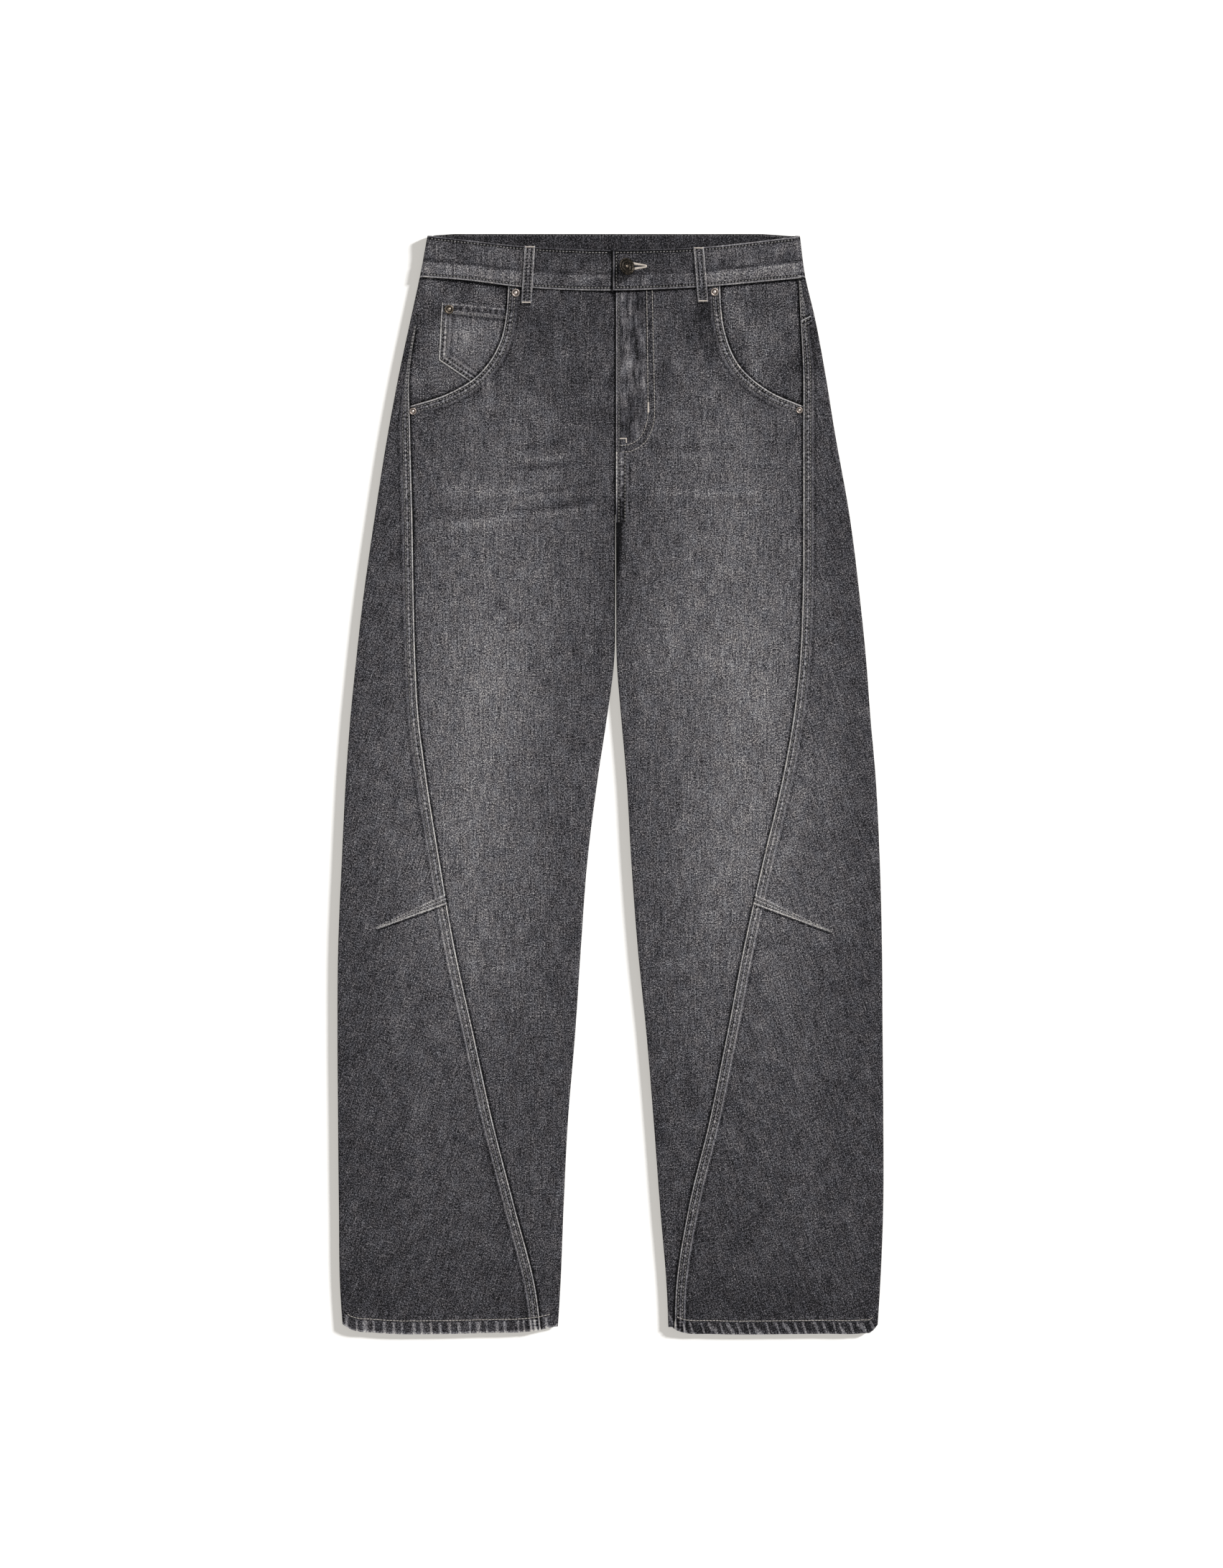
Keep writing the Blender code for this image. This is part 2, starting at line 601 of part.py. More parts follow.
def cut_buttonhole(band):
    """The hole through the left end of the waistband that the button's shank stands in."""
    middle = BAND_HEIGHT + (GAP + BUTTONHOLE_DEPTH) / 2
    bpy.ops.mesh.primitive_cylinder_add(vertices=16, radius=BUTTONHOLE * MM,
                                        depth=BUTTONHOLE_DEPTH * MM,
                                        location=Vector((*BUTTON, middle)) * MM)
    cutter = bpy.context.object
    cutter.name = "buttonhole_cutter"
    cutter.hide_render = True
    cutter.display_type = "WIRE"
    cut = band.modifiers.new("buttonhole", "BOOLEAN")
    cut.operation = "DIFFERENCE"
    cut.object = cutter


def belt_loop(side):
    """A folded strip across the waistband, sewn down at its two ends."""
    top, bottom = np.array(LOOP_ENDS[side.name])
    shares, bow = np.array(LOOP_RISE).T
    x, y = (top + (bottom - top) * shares[:, None]).T
    band_edge = edge(BAND_LOWER, bottom[0])
    panel = side.height(x, np.minimum(y, band_edge)) + GAP
    on_band = step(y, band_edge + LOOP_STEP_DOWN[0], band_edge + LOOP_STEP_DOWN[1])
    low = (panel + (BAND_HEIGHT + GAP - panel) * on_band + bow)[:, None]
    x = x[:, None] + np.array([-0.5, 0.5]) * LOOP_WIDTH
    y = y[:, None]
    slab(f"belt_loop_{side.name}", points(x, y, low + LOOP_WALL), points(x, y, low), BAND_GREY)


def level(x, y, z):
    """The plane of a flat ring at a place given in millimetres."""
    return Matrix.Translation(Vector((x, y, z)) * MM)


def turned(name, rings, segments, finish):
    """A turned metal piece: closed rings up its axis, each a radius and the matrix of its plane."""
    bm = bmesh.new()
    loops = []
    for radius, plane in rings:
        turns = [2 * pi * i / segments for i in range(segments if radius else 1)]
        spots = [Vector((radius * cos(a), radius * sin(a), 0)) * MM for a in turns]
        loops.append([bm.verts.new(plane @ spot) for spot in spots])
    for lower, upper in zip(loops, loops[1:]):
        for i in range(segments):
            j = (i + 1) % segments
            corners = [lower[i % len(lower)], lower[j % len(lower)],
                       upper[j % len(upper)], upper[i % len(upper)]]
            bm.faces.new(list(dict.fromkeys(corners)))
    return place(name, bm, finish)


def button():
    """The tack button: its shank stands on the under end and its head leans over on the cloth."""
    base = BAND_HEIGHT + GAP
    axis = Vector((-sin(radians(BUTTON_LEAN_AXIS)), cos(radians(BUTTON_LEAN_AXIS)), 0))
    lean = Matrix.Rotation(radians(BUTTON_LEAN), 4, axis)
    rings = [(0, level(*BUTTON, base)), (BUTTON_SHANK, level(*BUTTON, base)),
             (BUTTON_SHANK, level(*BUTTON, base + BUTTON_SHANK_HEIGHT))]
    head = level(*BUTTON, BUTTON_HEAD_HEIGHT) @ lean
    rings += [(radius, head @ level(0, 0, rise)) for radius, rise in BUTTON_PROFILE]
    turned("button", rings, BUTTON_SEGMENTS, DARK_BRASS)


def rivet(name, spot, diameter, seat):
    """A copper rivet: a flat burr with a raised ring and a domed middle."""
    rings = [(share * diameter / 2, level(*spot, seat + rise)) for share, rise in RIVET_PROFILE]
    turned(name, rings, RIVET_SEGMENTS, COPPER)


def build():
    """Clear the scene and make every piece of the garment."""
    for old in list(bpy.data.objects):
        bpy.data.objects.remove(old, do_unlink=True)
    right = Side("right", -1, RIGHT_LEG, RIGHT_SCOOP, RIGHT_HEM)
    left = Side("left", 1, LEFT_LEG, LEFT_SCOOP, LEFT_HEM)
    for side in (right, left):
        back(side)
        yoke(side)
        front(side)
        facing(side)
        belt_loop(side)
    coin_pocket(right)
    waistband(right, left)
    button()
    for name, side_name, spot, diameter in RIVETS:
        side = right if side_name == "right" else left
        seat = side.height(*spot) + SEAM_LIFT
        if name == "rivet_coin":
            seat = facing_height(side, *spot) + GAP + POCKET_WALL
        rivet(name, spot, diameter, seat + GAP)


build()
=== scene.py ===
# %% [markdown]
# # Barrel leg jeans, laid flat
# The real garment is a pair of stone washed grey denim jeans on a white table, seen from straight
# above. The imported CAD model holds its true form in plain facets. This file keeps that form as a
# fixed frame and replaces each solid by a finer shell with rounded edges, stitching and wear.

# %% Frame
from math import cos, pi, radians, sin

import bpy
import numpy as np
from mathutils import Matrix, Vector


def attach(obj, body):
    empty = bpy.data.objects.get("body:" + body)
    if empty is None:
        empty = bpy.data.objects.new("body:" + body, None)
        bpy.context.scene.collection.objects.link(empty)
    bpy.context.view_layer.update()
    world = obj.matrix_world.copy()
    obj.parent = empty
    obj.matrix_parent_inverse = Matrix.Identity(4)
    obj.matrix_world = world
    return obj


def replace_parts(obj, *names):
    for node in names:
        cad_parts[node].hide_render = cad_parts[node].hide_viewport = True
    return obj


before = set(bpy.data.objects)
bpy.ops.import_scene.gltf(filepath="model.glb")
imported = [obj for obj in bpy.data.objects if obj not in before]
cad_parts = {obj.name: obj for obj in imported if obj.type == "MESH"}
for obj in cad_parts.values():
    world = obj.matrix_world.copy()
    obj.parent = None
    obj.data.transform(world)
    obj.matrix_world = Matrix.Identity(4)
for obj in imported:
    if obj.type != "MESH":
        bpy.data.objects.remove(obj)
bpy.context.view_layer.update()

MM = 0.001

# %% [markdown]
# ## Sizes
# The tables say where the folds and seams of the garment run, in millimetres: across is X, up the
# body is Y. They could be measured from the frame's meshes, but they are the short tables that the
# CAD was made from, a few of them set right by a millimetre or two, and as numbers they can be
# evaluated anywhere, between two facets as well.

# %% Sizes
DENIM = 1.3
HEM_WALL = 2.1
BAND_WALL = 2.6
POCKET_WALL = 1.0
LOOP_WALL = 1.6
GAP = 0.3
LAY = [(-520, 5), (-300, 5.3), (-100, 5.7), (250, 5.5), (526, 5.7)]
CROWN = 0.8
CROWN_FADES = (300.0, 470.0)
CROWN_STARTS = (-526.0, -440.0)
FOLD_REACH = 4.0
SEAM_LIFT = 0.6
RIGHT_LEG = [
    (526, -174.6, -168.6, 4.6), (486, -182.1, -176.1, 4.6), (448, -190.3, -184.5, 4.6),
    (393, -202, -193, 4.6), (338, -212.3, -192.4, 4.6), (256, -225.3, -190.3, 4.6),
    (173, -237, -188.9, 4.6), (118, -243.2, -187.4, 3.6), (63, -248.7, -184.3, -3.4),
    (8, -252.8, -177.2, -11.7), (-74, -256.9, -164.2, -22), (-157, -260.4, -149.8, -28.2),
    (-239, -261, -131.9, -33.7), (-321, -260.5, -114, -40.5), (-404, -259.7, -92.7, -44.7),
    (-486, -258.3, -72.1, -48.1), (-526, -255.5, -67, -50.6)
]
LEFT_LEG = [
    (526, 181, 174.9, 5.4), (486, 186.2, 180.1, 5.4), (448, 195.1, 182.1, 5.4),
    (393, 205.4, 184.8, 5.4), (338, 214.3, 184.8, 5.4), (256, 228.8, 184.8, 5.4),
    (173, 239.1, 184.1, 5.4), (118, 244.6, 181.6, 6), (63, 248.7, 175.4, 10.3), (8, 253.5, 165.6, 15.1),
    (-74, 257.6, 146.3, 19.9), (-157, 259.7, 127.8, 26.1), (-239, 260.3, 111.3, 34.4),
    (-321, 261, 94.8, 41.2), (-404, 260.9, 74.9, 47.4), (-486, 257.6, 62.5, 54),
    (-526, 255, 61.5, 55.5)
]
MIDDLE_AT_WAIST = 1.5
MIDDLE_AT_CROTCH = 5.0
CROTCH = 252.0
LEGS_PART = 200.0
CROTCH_TURN = 12.0
CROTCH_TURN_FADES = (177.0, 245.0)
FLY_EDGE = 5.5
FLY_LAP = 7.0
FLY_WIDTH = 36.5
FLY_LIFT = 1.9
FLY_SLOPE = 12.0
J_CURVE_TOP = 358.0
J_CURVE_END = 317.0
LAP_END = 257.0
LAP_RUN_OUT = 8.0
RIGHT_SCOOP = [
    (-97.6, 477.2), (-99.8, 448), (-103.9, 427), (-115.8, 403.3), (-127.8, 389.7), (-154.6, 373.4),
    (-192.4, 361)
]
LEFT_SCOOP = [
    (104.8, 477.6), (105.6, 458.4), (108.7, 434.7), (124.3, 398.5), (137.1, 385.8), (152.9, 374.8),
    (184.5, 361)
]
SCOOP_LAST_AT_FLY = 352.0
FACING_TOP = 480.0
FACING_END = 350.0
FACING_TUCK = 15.0
SINK_FROM_SEAM = 15.0
SINK_FROM_BAND = 12.0
COIN_TUCK = 6.0
COIN_MOUTH = (0.137, 0.60)
COIN_EDGE = [
    (-160.8, 460.5), (-161.6, 452.5), (-162.9, 429), (-164.2, 405.4), (-153, 397.8), (-142, 390.3),
    (-131.5, 383.1)
]
BAND_LOWER = [
    (-182.1, 484.8), (-139.5, 481.6), (-85.9, 475), (2.7, 471.5), (81.8, 474.7), (186.2, 483.8)
]
BAND_UPPER = [(-175, 524.2), (-139.5, 520.1), (-83, 514), (2.1, 510.4), (79, 512.5), (181.4, 523.4)]
BAND_BACK = [(-175, 524.2), (-150, 526), (145, 526), (181.4, 523.4)]
BAND_BOTTOM = 484.4
BAND_TOP = 524.0
BAND_HEIGHT = 7.2
BAND_TURN = 4.6
BAND_LAP_RAMP = (42.0, 66.0)
BAND_END = 2.5
RIGHT_HEM = [
    (-256.5, -516), (-250, -520.5), (-224.6, -524.6), (-167, -526), (-122, -524.9), (-68, -522.1),
    (-48, -517.3)
]
LEFT_HEM = [
    (54.5, -511.5), (56.5, -515), (59.5, -519.5), (63.5, -522.3), (70, -524.5), (95.5, -525.8),
    (170.4, -526), (204, -525.6), (240, -525.2), (250, -523.6), (256.5, -515.5)
]
SEAM_SHIFT = {"right": [(-530.0, 0.9), (530.0, 0.9)],
              "left": [(-530.0, 0.0), (-230.0, -0.2), (-150.0, 0.5), (530.0, 0.6)]}
HEM_LINE = -508.0
HEM_ROW = -520.0
HEM_DEPTH = 12.8
YOKE_AT_FOLD = 448.0
YOKE_AT_MIDDLE = 424.0
YOKE_RISE = 0.46
YOKE_GUIDE = 445.0
DART_UPPER = -106.6
DART_LOWER = -114.9
DART_UPPER_FALL = 0.42
DART_LOWER_FALL = 0.34
DART_LENGTH = {"right": 72.0, "left": 81.0}
DART_EASES = (-220.0, 0.0)
DART_LIFT = 0.5
LOOP_WIDTH = 10.0
LOOP_ENDS = {"right": ((-76.9, 514.3), (-80.4, 458.9)), "left": ((84.2, 513.2), (88.6, 460.3))}
LOOP_STEP_DOWN = (-8.0, -1.0)
LOOP_RISE = [
    (0, 0), (0.08, 0.2), (0.3, 0.8), (0.5, 0.7), (0.65, 0.3), (0.72, 0.1), (0.8, 0.1), (0.88, 0.1),
    (1, 0)
]
BUTTON = (15.8, 493.9)
BUTTONHOLE = 4.0
BUTTON_SHANK = 3.2
BUTTON_LEAN = 33.0
BUTTON_LEAN_AXIS = 20.0
BUTTON_HEAD_HEIGHT = 15.6
RIVETS = [
    ("rivet_scoop_top_right", "right", (-90.5, 469.4), 8.0),
    ("rivet_scoop_end_right", "right", (-188.7, 356.2), 7.0),
    ("rivet_coin", "right", (-154.2, 453.8), 9.0),
    ("rivet_scoop_top_left", "left", (99.6, 470.2), 8.0),
    ("rivet_scoop_end_left", "left", (180.6, 357.2), 6.5),
]
print("tables:", len(RIGHT_LEG), "sections a leg,", len(RIVETS), "rivets")

# %% [markdown]
# ## Curves and soft randomness
# Cloth has no straight facets, so every edge is a smooth curve through its table, and nothing on it
# repeats evenly. A seeded value at each step of a line or lattice, joined by smooth steps, gives
# unevenness that is the same in every run.

# %% Curves and soft randomness
def smooth(x, knots, values):
    """Cubic through the points, its slope at each one taken from the neighbours."""
    knots = np.asarray(knots, float)
    values = np.asarray(values, float)
    slopes = np.gradient(values, knots)
    x = np.clip(x, knots[0], knots[-1])
    i = np.clip(np.searchsorted(knots, x, side="right") - 1, 0, len(knots) - 2)
    width = knots[i + 1] - knots[i]
    t = (x - knots[i]) / width
    chord = values[i] + (values[i + 1] - values[i]) * t * t * (3 - 2 * t)
    return chord + width * t * (1 - t) * (slopes[i] * (1 - t) - slopes[i + 1] * t)


def step(x, low, high):
    """0 below low, 1 above high, and an even curve between them."""
    t = np.clip((np.asarray(x, float) - low) / (high - low), 0.0, 1.0)
    return t * t * (3 - 2 * t)


def edge(table, x):
    """Height up the body of an edge that is given by points across it."""
    across, up = np.array(table).T
    return np.interp(x, across, up)


def curve(table, x):
    """The same edge without corners."""
    across, up = np.array(table).T
    return smooth(x, across, up)


def bell(x, centre, half):
    """1 at the centre, falling off on both sides as e to the minus square of the distance in halves."""
    return np.exp(-((x - centre) / half) ** 2)


def unit(runs):
    """The same directions, each divided by its length."""
    return runs / np.linalg.norm(runs, axis=-1, keepdims=True)


def knots_of(path):
    """How far along a path each of its points lies: the sum of the stretches before it."""
    return np.concatenate([[0.0], np.cumsum(np.linalg.norm(np.diff(path, axis=0), axis=-1))])


def place_at(along, knots, path):
    """Places at some distances along a path, in equal steps between its points."""
    return np.stack([np.interp(along, knots, column) for column in path.T], axis=-1)


def points(x, y, z):
    """A grid of places from their three grids of numbers."""
    return np.stack(np.broadcast_arrays(x, y, z), axis=-1).astype(float)


def wander(x, spacing, seed):
    """Random heights from -1 to 1 at every spacing along a line, joined by smooth steps."""
    t = np.asarray(x, float) / spacing
    cell = np.floor(t).astype(int)
    share = step(t - cell, 0, 1)
    heights = np.random.default_rng(seed).uniform(-1, 1, 1024)
    return heights[cell % 1024] * (1 - share) + heights[(cell + 1) % 1024] * share


def clouds(x, y, wide, tall, seed):
    """Random heights from -1 to 1 on a lattice of wide by tall cells, joined by smooth steps."""
    u = np.asarray(x, float) / wide
    v = np.asarray(y, float) / tall
    i, j = np.floor(u).astype(int), np.floor(v).astype(int)
    s, t = step(u - i, 0, 1), step(v - j, 0, 1)
    lattice = np.random.default_rng(seed).uniform(-1, 1, (256, 256))
    low = lattice[i % 256, j % 256] * (1 - s) + lattice[(i + 1) % 256, j % 256] * s
    high = lattice[i % 256, (j + 1) % 256] * (1 - s) + lattice[(i + 1) % 256, (j + 1) % 256] * s
    return low * (1 - t) + high * t


print("a cloth edge half way up the right leg:", smooth(8.0, [-74.0, 8.0, 63.0], [-22.0, -11.7, -3.4]))

# %% [markdown]
# ## Creases
# The cloth lies almost flat, with low waves across the hips, faint ones down the legs and fans of
# short ones beside the rivets and the crotch. A simulation would put them anywhere, so each one is
# given: two ends, half its width, its height (a trough is negative), and how much lighter or darker
# it is coloured, partly the wash's wear and partly painted shade in the troughs. Across a crease the
# form is a bell, and it dies out at both ends.

# %% Creases
CREASES = [
    (-172, 283, -62, 281, 5, 0.35, 14), (-100, 273, -20, 284, 2.6, 0.25, 14),
    (-175, 246, -82, 257, 5, 0.45, 19), (-90, 256, 0, 268, 2.6, 0.3, 14),
    (-178, 262, -105, 260, 6, -0.4, -13), (-108, 261, -6, 274, 3, -0.4, -18),
    (-130, 270, -62, 281, 2, -0.3, -14), (-70, 279, -10, 290, 2, -0.35, -18),
    (-104, 302, -27, 309, 2.6, -0.35, -18), (-90, 310, -32, 316, 3, 0.3, 14),
    (-98, 321, -30, 332, 2.4, -0.3, -14), (-150, 359, -66, 366, 4, 0.25, 6),
    (-70, 367, -14, 377, 1.8, -0.2, -6), (-60, 340, -16, 346, 4, 0.2, 8),
    (-160, 222, -60, 231, 9, -0.25, -5), (42, 323, 95, 321, 1.8, -0.25, -13),
    (90, 321, 165, 327, 1.6, -0.2, -10), (45, 314, 110, 316, 2.5, 0.2, 8),
    (30, 281, 162, 281, 2.6, 0.3, 14), (36, 272, 150, 274, 5, -0.25, -6),
    (62, 358, 104, 359, 1.8, -0.2, -6), (50, 379, 96, 379, 2, -0.2, -5),
    (124, 228, 144, 187, 1.6, -0.25, -8), (40, 245, 52, 205, 2.4, 0.2, 8),
    (-186, 352, -176, 336, 1.6, 0.35, 16), (-184, 345, -180, 325, 1.8, -0.35, -10),
    (-176, 355, -160, 345, 1.5, 0.25, 10), (176, 350, 166, 334, 1.6, 0.3, 9),
    (180, 345, 177, 322, 1.8, -0.3, -8), (17, 313, 27, 296, 1.6, 0.35, 16),
    (13, 306, 20, 291, 1.8, -0.35, -19), (26, 316, 38, 304, 1.6, 0.3, 16),
    (22, 305, 33, 290, 1.6, -0.3, -14), (-96, 462, -66, 440, 4, -0.35, -7),
    (-66, 452, -58, 418, 4, 0.25, 4), (-90, 436, -72, 400, 6, 0.25, 4), (94, 462, 72, 436, 4, -0.3, -6),
    (-225, 60, -212, -70, 9, 0.35, 4), (-238, -130, -226, -300, 12, -0.35, -3),
    (-205, -150, -214, -330, 12, 0.35, 3), (-120, 190, -108, 20, 14, 0.4, 4),
    (-60, 150, -74, -10, 12, -0.35, -3), (-92, -130, -84, -330, 13, -0.4, -3),
    (-150, -210, -190, -420, 14, 0.35, 2), (-62, -280, -74, -470, 8, 0.3, 3),
    (56, 188, 62, 110, 8, 0.35, 9), (128, 160, 132, 60, 12, 0.3, 5), (92, 120, 96, -60, 12, -0.35, -3),
    (215, 40, 206, -80, 10, 0.35, 3), (74, -150, 82, -340, 10, -0.35, -3),
    (160, -170, 190, -330, 14, 0.35, 3), (222, -180, 230, -420, 12, -0.35, -3),
    (120, -330, 150, -480, 14, -0.3, -3), (-228, -128, -238, -150, 3, 0.35, 9),
    (-224, -142, -226, -160, 3, -0.35, -7), (222, -131, 232, -152, 3, 0.35, 8),
    (216, -145, 219, -164, 3, -0.35, -6), (12.5, 467, 13.5, 452, 1.3, 0.25, 24),
    (20, 466, 19, 446, 1.3, 0.25, 26), (27, 468, 26, 452, 1.4, -0.25, -14),
    (16, 444, 18, 424, 1.6, 0.2, 16), (24, 438, 22, 412, 1.8, -0.2, -12),
    (12, 402, 12.5, 376, 1.6, 0.25, 18), (18, 398, 16.5, 366, 1.4, 0.25, 24),
    (24, 394, 22, 370, 1.5, 0.2, 16), (28, 384, 27.5, 368, 1.2, 0.2, 12),
    (21, 372, 24, 350, 1.6, -0.2, -10), (50, 468, 58, 440, 2.4, 0.2, 8),
    (-20, 466, -30, 440, 3, 0.2, 6), (-36, 480.5, -4, 487, 1.2, 0.25, 26),
    (-40, 489, -27, 480, 1.3, 0.25, 16), (-20, 478, 0, 480.5, 1.5, -0.2, -12)
]
CREASE_LIFT = 5
CREASE_WEAR_AND_SHADE = 6


def creases(x, y, column):
    """Sum of bells: column's number where the crease runs, falling off across it and at its ends."""
    total = np.zeros(np.broadcast(x, y).shape)
    for row in CREASES:
        x0, y0, x1, y1, half = row[:5]
        run = np.hypot(x1 - x0, y1 - y0)
        along = ((x - x0) * (x1 - x0) + (y - y0) * (y1 - y0)) / run
        bow = 0.03 * run * (1 - (2 * along / run - 1) ** 2)
        off = ((y - y0) * (x1 - x0) - (x - x0) * (y1 - y0)) / run + bow
        ends = step(along, -0.05 * run, 0.25 * run) * (1 - step(along, 0.75 * run, 1.05 * run))
        total += row[column] * bell(off, 0, half) * ends
    return total


print(len(CREASES), "creases; at the crotch:", creases(np.array(-50.0), np.array(268.0), CREASE_LIFT))

# %% [markdown]
# ## One half of the garment
# Each leg is a flattened tube, and a tube is easiest to think of as a line round its section. This
# class answers where that line turns at any height up the body: the outer fold, the seam that sweeps
# over the front, the inner fold, and how high the upper layer lies between them.

# %% One half of the garment
class Side:
    """One half of the garment: where its folds and seam run, and how high it lies."""

    def __init__(self, name, sign, sections, scoop, hem):
        self.name = name
        self.sign = sign
        self.sections = np.array(sections[::-1]).T
        self.scoop = np.array(scoop)
        self.hem_table = hem

    def outer(self, y):
        """The outer fold."""
        return smooth(y, self.sections[0], self.sections[1])

    def seam(self, y):
        """The swept seam, at the back panel's edge."""
        return smooth(y, self.sections[0], self.sections[2]) - self.sign * edge(SEAM_SHIFT[self.name], y)

    def front_seam(self, y):
        """The swept seam, at the front panel's edge."""
        return self.seam(y) - self.sign * GAP

    def inner(self, y):
        """The inner fold."""
        return smooth(y, self.sections[0], self.sections[3])

    def hem(self, x):
        """The bottom edge."""
        return curve(self.hem_table, x)

    def split(self, y):
        """0 where the two halves are joined, 1 where the legs are tubes of their own."""
        return 1 - step(y, LEGS_PART, CROTCH)

    def height(self, x, y):
        """Outer face of the upper layer: pillowed between the folds, lifted over the fly."""
        base = edge(LAY, y)
        across = np.clip((x - self.outer(y)) / (self.inner(y) - self.outer(y)), 0, 1)
        pillow = np.sin(pi * across * (0.5 + 0.5 * self.split(y)))
        z = base + CROWN * pillow * (1 - step(y, *CROWN_FADES)) * step(y, *CROWN_STARTS)
        inside = step(np.abs(x - self.outer(y)), FOLD_REACH, 3 * FOLD_REACH)
        z = z + creases(x, y, CREASE_LIFT) * inside * step(y, HEM_ROW, HEM_LINE)
        if self.name == "left":
            z = z + self.fly_lift(x, y)
        return z

    def fly_lift(self, x, y):
        """The left front lies on the right one at the fly, in a J, and on its lap below it."""
        wide = FLY_EDGE + FLY_WIDTH
        narrow = FLY_EDGE + FLY_LAP
        reach = narrow + (wide - narrow) * step(y, J_CURVE_END, J_CURVE_TOP)
        return FLY_LIFT * (1 - step(x, reach, reach + FLY_SLOPE)) * step(y, LAP_END - FLY_SLOPE, LAP_END)

    def front_end(self, y):
        """Where the front panel ends in the middle: the right one runs on under the fly."""
        end = self.inner(y)
        if self.name == "right":
            end = end + (FLY_EDGE + FLY_LAP - end) * step(y, LAP_END, LAP_END + LAP_RUN_OUT)
        return end

    def front_turn(self, y):
        """How far from its inner edge the front panel starts to turn under."""
        if self.name == "right":
            return FOLD_REACH + 0 * y
        return FOLD_REACH + (CROTCH_TURN - FOLD_REACH) * step(y, *CROTCH_TURN_FADES)

    def back_end(self, y):
        """The line where the back panels meet, down the seat and then at the inner folds."""
        seat = MIDDLE_AT_CROTCH + (MIDDLE_AT_WAIST - MIDDLE_AT_CROTCH) * step(y, CROTCH, BAND_BOTTOM)
        joined = seat + self.sign * GAP / 2
        return joined + (self.inner(y) - joined) * self.split(y)


def wall(y):
    """The cloth's wall: denim, and the turned-up hem below its stitching."""
    return DENIM + (HEM_WALL - DENIM) * (1 - step(y, HEM_LINE - 1, HEM_LINE + 1))


def outer_fold(side, y, angle, depth):
    """Point on the outer fold, angle from 90 degrees on top to -90 underneath."""
    centre = side.outer(y) - side.sign * FOLD_REACH
    half = side.height(centre, y) / 2
    x = centre + side.sign * (FOLD_REACH - depth) * np.cos(np.radians(angle))
    return x, half + (half - depth) * np.sin(np.radians(angle))


def inner_fold(side, y, angle, depth, end, turn):
    """Point on the inner fold. Above the crotch it is opened out flat along its panel."""
    upper = angle >= 0
    centre = end + side.sign * turn
    top = side.height(centre, y)
    inseam = top / 2 + (GAP / 2 if upper else -GAP / 2)
    reach = top - inseam if upper else inseam
    tube_x = centre - side.sign * (turn - depth) * cos(radians(angle))
    tube_z = inseam + (reach - depth) * sin(radians(angle))
    flat_x = centre - side.sign * turn * cos(radians(angle))
    flat_z = side.height(flat_x, y) - depth if upper else depth
    split = side.split(y)
    return flat_x + (tube_x - flat_x) * split, flat_z + (tube_z - flat_z) * split


RIGHT = Side("right", -1, RIGHT_LEG, RIGHT_SCOOP, RIGHT_HEM)
LEFT = Side("left", 1, LEFT_LEG, LEFT_SCOOP, LEFT_HEM)
SIDES = (RIGHT, LEFT)
for side in SIDES:
    print(side.name, "leg, width at the knee:", abs(side.outer(-120.0) - side.inner(-120.0)).round(1))

# %% [markdown]
# ## Lines of sewing
# Wear, puckers and stitches all follow the seams, so each seam is kept as a line. For any place on
# the cloth it gives the distance to the seam and how far along it that place lies. A shader can then
# draw a worn ridge or a row of needle holes as a plain function of those two numbers.

# %% Lines of sewing
FAR = 99.0
ONE_ROW = -99.0
LINE_STEP = 6.0
ALONG_FROM = 500.0


class Line:
    """A line on the flat garment, as short straight stretches between its points."""

    def __init__(self, path):
        self.path = np.asarray(path, float)
        self.runs = np.diff(self.path, axis=0)
        self.lengths = np.hypot(*self.runs.T)
        self.knots = np.concatenate([[0.0], np.cumsum(self.lengths)])

    def near(self, x, y):
        """Distance to the nearest stretch, and how far along the line that is."""
        place = np.stack(np.broadcast_arrays(x, y), axis=-1).reshape(-1, 1, 2)
        gap = place - self.path[:-1]
        share = np.clip((gap * self.runs).sum(axis=-1) / self.lengths ** 2, 0, 1)
        gap = gap - share[..., None] * self.runs
        square = (gap ** 2).sum(axis=-1)
        best = square.argmin(axis=1)
        each = np.arange(len(best))
        along = self.knots[best] + share[each, best] * self.lengths[best]
        shape = np.broadcast(x, y).shape
        return np.sqrt(square[each, best]).reshape(shape), along.reshape(shape)

    def at(self, along):
        """Place and left-hand normal at a distance along the line."""
        here, behind, ahead = (place_at(along + d, self.knots, self.path) for d in (0, -1, 1))
        run = unit(ahead - behind)
        return here, np.stack([-run[..., 1], run[..., 0]], axis=-1)


def nearer(first, second):
    """Of two lines' distances and places along, those of the nearer line."""
    (d0, s0), (d1, s1) = first, second
    return np.minimum(d0, d1), np.where(d0 < d1, s0, s1)


def scoop_point(side, shares):
    """Places along the pocket mouth and the direction from it onto the front panel."""
    knots = knots_of(side.scoop) / knots_of(side.scoop)[-1]

    def at(share):
        return np.stack([smooth(share, knots, column) for column in side.scoop.T], axis=-1)

    run = unit(at(shares + 0.01) - at(shares - 0.01))
    return at(shares), side.sign * np.stack([run[:, 1], -run[:, 0]], axis=-1)


def seam_line(side):
    """The swept seam as a line, from under the waistband to below the hem."""
    y = np.arange(486.0, -529.0, -LINE_STEP)
    return Line(np.stack([side.seam(y), y], axis=-1))


SCOOP_LINE = {side.name: Line(scoop_point(side, np.linspace(0, 1, 41))[0]) for side in SIDES}
SEAM_LINE = {side.name: seam_line(side) for side in SIDES}
BAND_LINE = Line([(x, edge(BAND_LOWER, x)) for x in np.arange(-182.0, 187.0, LINE_STEP)])
print("pocket mouths:", [round(line.knots[-1]) for line in SCOOP_LINE.values()], "mm long")

